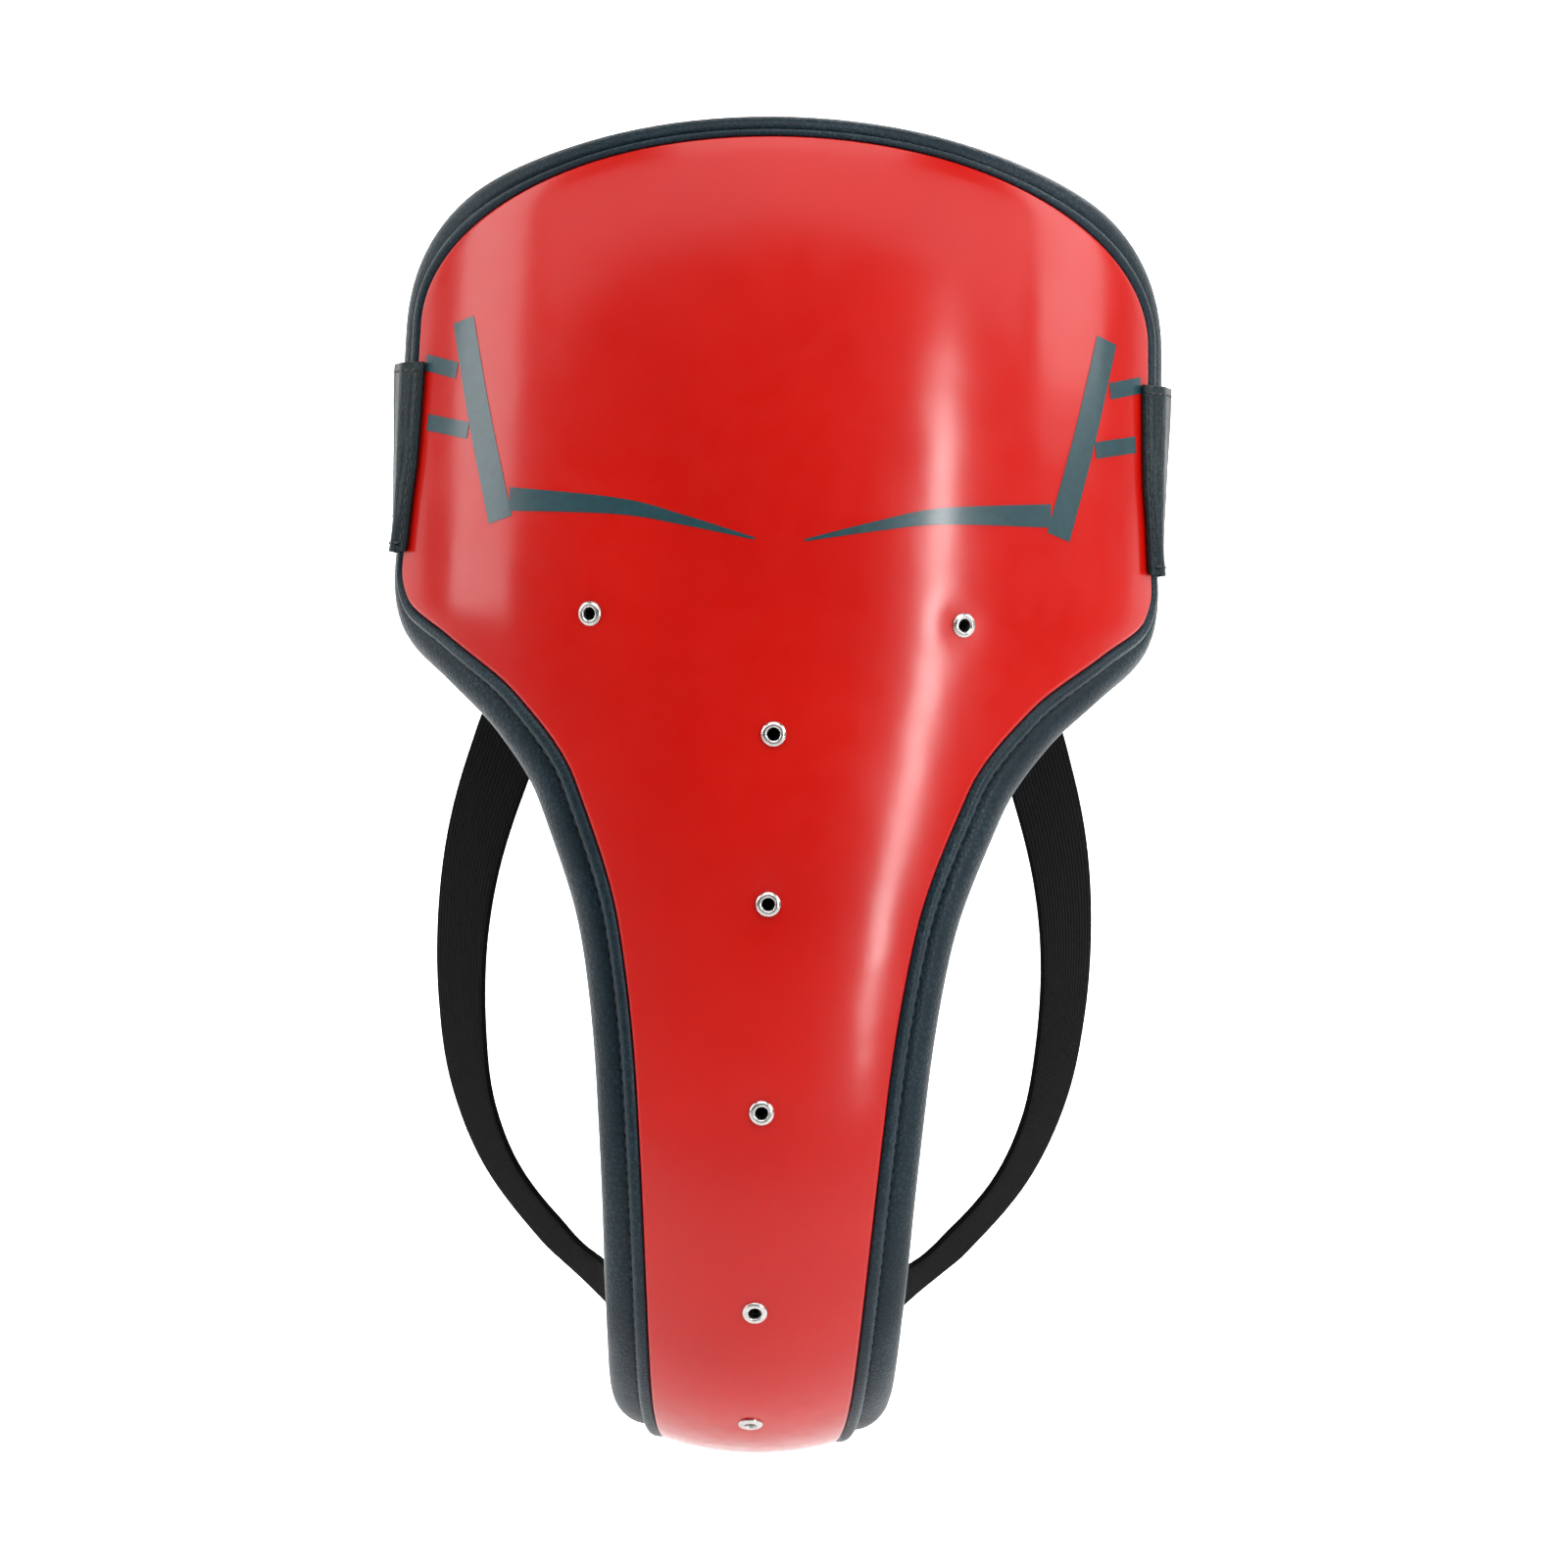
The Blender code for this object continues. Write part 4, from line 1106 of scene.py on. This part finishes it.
def patch_line(patch, side):
    """The middle of a strap's sewn end, above the pad's back: points and the ways off the pad."""
    (start, start_x), (end, end_x) = patch
    t = np.linspace(0, 1, 5)
    station, x = start + (end - start) * t, side * (start_x + (end_x - start_x) * t)
    angle = np.arcsin(np.clip(x / (smooth(HALF_SPAN, station) - PAD_BACK), -1, 1))
    return behind(station, angle, PAD_BACK + PATCH_LIFT), -outward(station, angle)


def nearest(line, point):
    return int(np.argmin(np.linalg.norm(line - point, axis=1)))


def strap_line(side):
    """A leg strap's middle line with its unit widths and normals, and for each sewn end, the upper
    one first: the index where the strap leaves it, and the way off the pad there."""
    ends = []
    for patch in (STRAP_TOP_PATCH, STRAP_TIP_PATCH):
        points, offs = patch_line(patch, side)
        way = unit(points[-1] - points[0])
        ends.append((points, way, offs[-1], unit(np.cross(way, offs[-1]))))
    (top, top_way, top_off, top_width), (tip, tip_way, tip_off, tip_width) = ends
    route = [np.array([-side * x, y, z]) for x, y, z in STRAP_ROUTE]
    guides = [
        top[0], top[2], top[-1], top[-1] + top_way * 0.0055 + top_off * 0.0030, *route,
        tip[-1] + tip_way * 0.0080 + tip_off * 0.0045, tip[-1], tip[2], tip[0],
    ]
    (centres,) = resample(catmull(guides, 12), 0.0016)
    along = distances(centres)
    way = unit(np.gradient(centres, axis=0))
    k_top, k_tip = nearest(centres, top[-1]), nearest(centres, tip[-1])
    knots = [(t, unit(np.array([-side * x, y, z]))) for t, (x, y, z) in STRAP_WIDTH_KNOTS]
    if top_width @ knots[0][1] < 0:
        top_width = -top_width
    if tip_width @ knots[-1][1] < 0:
        tip_width = -tip_width
    knots = [(0.0, top_width), *knots, (1.0, tip_width)]
    widths = []
    for k in range(len(centres)):
        t = (along[k] - along[k_top]) / (along[k_tip] - along[k_top])
        width = knots[0][1]
        for (before, _), (after, direction) in zip(knots, knots[1:]):
            width = width + (direction - width) * float(ease(before, after, t))
        widths.append(unit(width - way[k] * (width @ way[k])))
    widths = np.array(widths)
    return centres, widths, unit(np.cross(way, widths)), (k_top, top_off), (k_tip, tip_off)


def build_strap(side, word):
    """A leg strap in two pieces that meet at its middle, each with its sewn end and its stitches."""
    centres, widths, normals, (k_top, top_off), (k_tip, tip_off) = strap_line(side)
    count = len(centres)
    middle = (k_top + k_tip) // 2
    body = f"leg_strap_{word}"
    for part, span, sewn_part, first, step, off in (
        ("upper", slice(0, middle + 1), slice(1, k_top - 1), k_top, 1, top_off),
        ("lower", slice(middle, count), slice(k_tip + 2, count - 1), k_tip, -1, tip_off),
    ):
        made = webbing(
            f"leg_strap_{word}_{part}", centres[span], widths[span] * STRAP_WIDTH, normals[span],
            STRAP_THICK, STRAP, caps=(part == "upper", part == "lower"),
        )
        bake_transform(made)
        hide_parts(f"strap_patch_{part}_{word}", body)
        face = 1 if normals[first] @ off > 0 else -1
        up, across = normals[sewn_part] * face, widths[sewn_part] * STRAP_WIDTH
        raised = centres[sewn_part] + normals[sewn_part] * (face * STRAP_THICK / 2)
        lines = [(raised + across * c, up) for c in (-STRAP_SEAM, STRAP_SEAM)]
        for k in (0, -1):
            c = np.linspace(-STRAP_SEAM, STRAP_SEAM, 9)[:, None]
            lines.append((raised[k] + across[k] * c, np.tile(up[k], (len(c), 1))))
        slant = across * np.linspace(-STRAP_SEAM, STRAP_SEAM, len(raised))[:, None]
        lines += [(raised + slant, up), (raised - slant, up)]
        name = f"leg_strap_{word}_{part}_stitches"
        sewn = stitches(name, lines, BLACK_THREAD, 2.8, 2.1, 0.24, 0.0)
        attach(sewn, "guard")


# ---- studio
PAPER_DROP = 0.065
PAPER_FRONT_Y = -5.0
PAPER_BEND_Y = 1.6
PAPER_BEND_R = 1.2
PAPER_RISE = 8.0
PAPER_HALF_WIDTH = 9.0
PAPER_WHITE = 0.90
# Painted shade: the paper in front of the part is pale grey, not white, so the glossy shield
# reflects a darker floor there.
PAPER_SHADE_GREY = 0.42
PAPER_SHADE_Y = (-0.42, -0.20)
PAPER_GLOW = 0.80
PAPER_GLOW_Y = (0.05, 0.7)
WORLD_COLOUR = (1.0, 0.94, 0.88, 1)
WORLD_STRENGTH = 0.10
AIM = (0, -0.08, -0.04)
# Lights round the shield: (azimuth, elevation, distance), (width, height), power.
LIGHTS = {
    "strip_right": ((39, 1, 1.5), (0.15, 0.68), 6.6),
    "softbox_left": ((-80, 20, 1.5), (0.60, 1.1), 8),
    "overhead": ((0, 60, 1.7), (1.6, 1.1), 15),
    "header": ((0, 34, 0.85), (2.6, 0.26), 3.3),
    "back_fill": ((160, 38, 1.9), (1.0, 0.8), 7),
    "softbox_right": ((77, 27, 1.5), (0.60, 0.9), 7),
}


def area_light(name, place, target, size, power):
    data = bpy.data.lights.new(name, "AREA")
    data.shape = "RECTANGLE"
    data.size, data.size_y = size
    data.energy = power
    made = add_object(name, data)
    made.location = place
    made.rotation_euler = (Vector(target) - Vector(place)).to_track_quat("-Z", "Y").to_euler()


def around(azimuth, elevation, distance):
    """A place seen from the shield's middle. Azimuth 0 is in front of it and grows to the right."""
    a, e = math.radians(azimuth), math.radians(elevation)
    flat, rise = distance * math.cos(e), distance * math.sin(e)
    return (flat * math.sin(a), -flat * math.cos(a), rise + AIM[2])


def build_paper():
    """A paper sweep under and behind the part: pale grey in front as painted shade, and lit from
    itself behind.
    """
    low = CAD_BOX[0][2] - PAPER_DROP
    profile = [(PAPER_FRONT_Y, low), (PAPER_BEND_Y, low)]
    for k in range(1, 17):
        a = math.pi / 2 * k / 16
        bend_z = low + PAPER_BEND_R * (1 - math.cos(a))
        profile.append((PAPER_BEND_Y + PAPER_BEND_R * math.sin(a), bend_z))
    profile.append((PAPER_BEND_Y + PAPER_BEND_R, low + PAPER_RISE))
    points = [(x, y, z) for y, z in profile for x in (-PAPER_HALF_WIDTH, PAPER_HALF_WIDTH)]
    faces = [(2 * k, 2 * k + 1, 2 * k + 3, 2 * k + 2) for k in range(len(profile) - 1)]
    floor = new_object("studio_floor", points, faces)
    m = Nodes("studio_paper", (PAPER_WHITE,) * 3, 0.9)
    m.shader.inputs["Emission Color"].default_value = (1, 1, 1, 1)
    split = m.add("ShaderNodeSeparateXYZ")
    m.link(m.place(), split.inputs["Vector"])
    y = split.outputs["Y"]
    # Painted shade: pale grey paper in front of the part, white further back.
    near = m.range(y, *PAPER_SHADE_Y, 0.0, 1.0)
    m.colour(near, (0.0, (PAPER_SHADE_GREY,) * 3), (1.0, (PAPER_WHITE,) * 3))
    m.to("Emission Strength", m.range(y, *PAPER_GLOW_Y, 0.0, PAPER_GLOW))
    m.bump(m.noise(m.place(), 30, 2), 0.02, 0.001)
    floor.data.materials.append(m.material)
    floor.data.shade_smooth()


def build_lights():
    world = bpy.data.worlds.new("studio")
    world.use_nodes = True
    world.node_tree.nodes["Background"].inputs["Color"].default_value = WORLD_COLOUR
    world.node_tree.nodes["Background"].inputs["Strength"].default_value = WORLD_STRENGTH
    bpy.context.scene.world = world
    for name, (place, size, power) in LIGHTS.items():
        area_light(name, around(*place), AIM, size, power)
    area_light("back_glow", (0, 1.3, 1.2), (0, 2.6, 0.4), (3.0, 1.2), 60)
    scene = bpy.context.scene
    scene.view_settings.view_transform = "Standard"
    scene.view_settings.look = "None"
    scene.view_settings.exposure = 0.0


CAMERA_DISTANCE = 2.0
CAMERA_TARGET = (0.0040, 0.0, -0.0837)
CAMERA_AZIMUTH = -0.5
CAMERA_ROLL = 1.8
CAMERA_SENSOR = 36
FRAME_WIDTH = 0.4278


def build_camera():
    data = bpy.data.cameras.new("camera")
    data.sensor_width = CAMERA_SENSOR
    data.lens = CAMERA_SENSOR * CAMERA_DISTANCE / FRAME_WIDTH
    data.clip_start, data.clip_end = 0.05, 50
    camera = add_object("camera", data)
    a = math.radians(CAMERA_AZIMUTH)
    look = Vector((-math.sin(a), math.cos(a), 0)) * CAMERA_DISTANCE
    camera.location = Vector(CAMERA_TARGET) - look
    roll = Matrix.Rotation(math.radians(CAMERA_ROLL), 3, "Z")
    camera.rotation_euler = (look.to_track_quat("-Z", "Y").to_matrix() @ roll).to_euler()
    bpy.context.scene.camera = camera


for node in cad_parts:
    if node.startswith("rivet_washer"):
        dress(node, STEEL)
dress("rigid_plate", PLASTIC)
build_cover()
build_marks()
build_rivets()
build_pad()
build_binding()
build_side_tabs()
build_belt()
build_closure()
build_strap(-1, "left")
build_strap(1, "right")
build_paper()
build_lights()
build_camera()
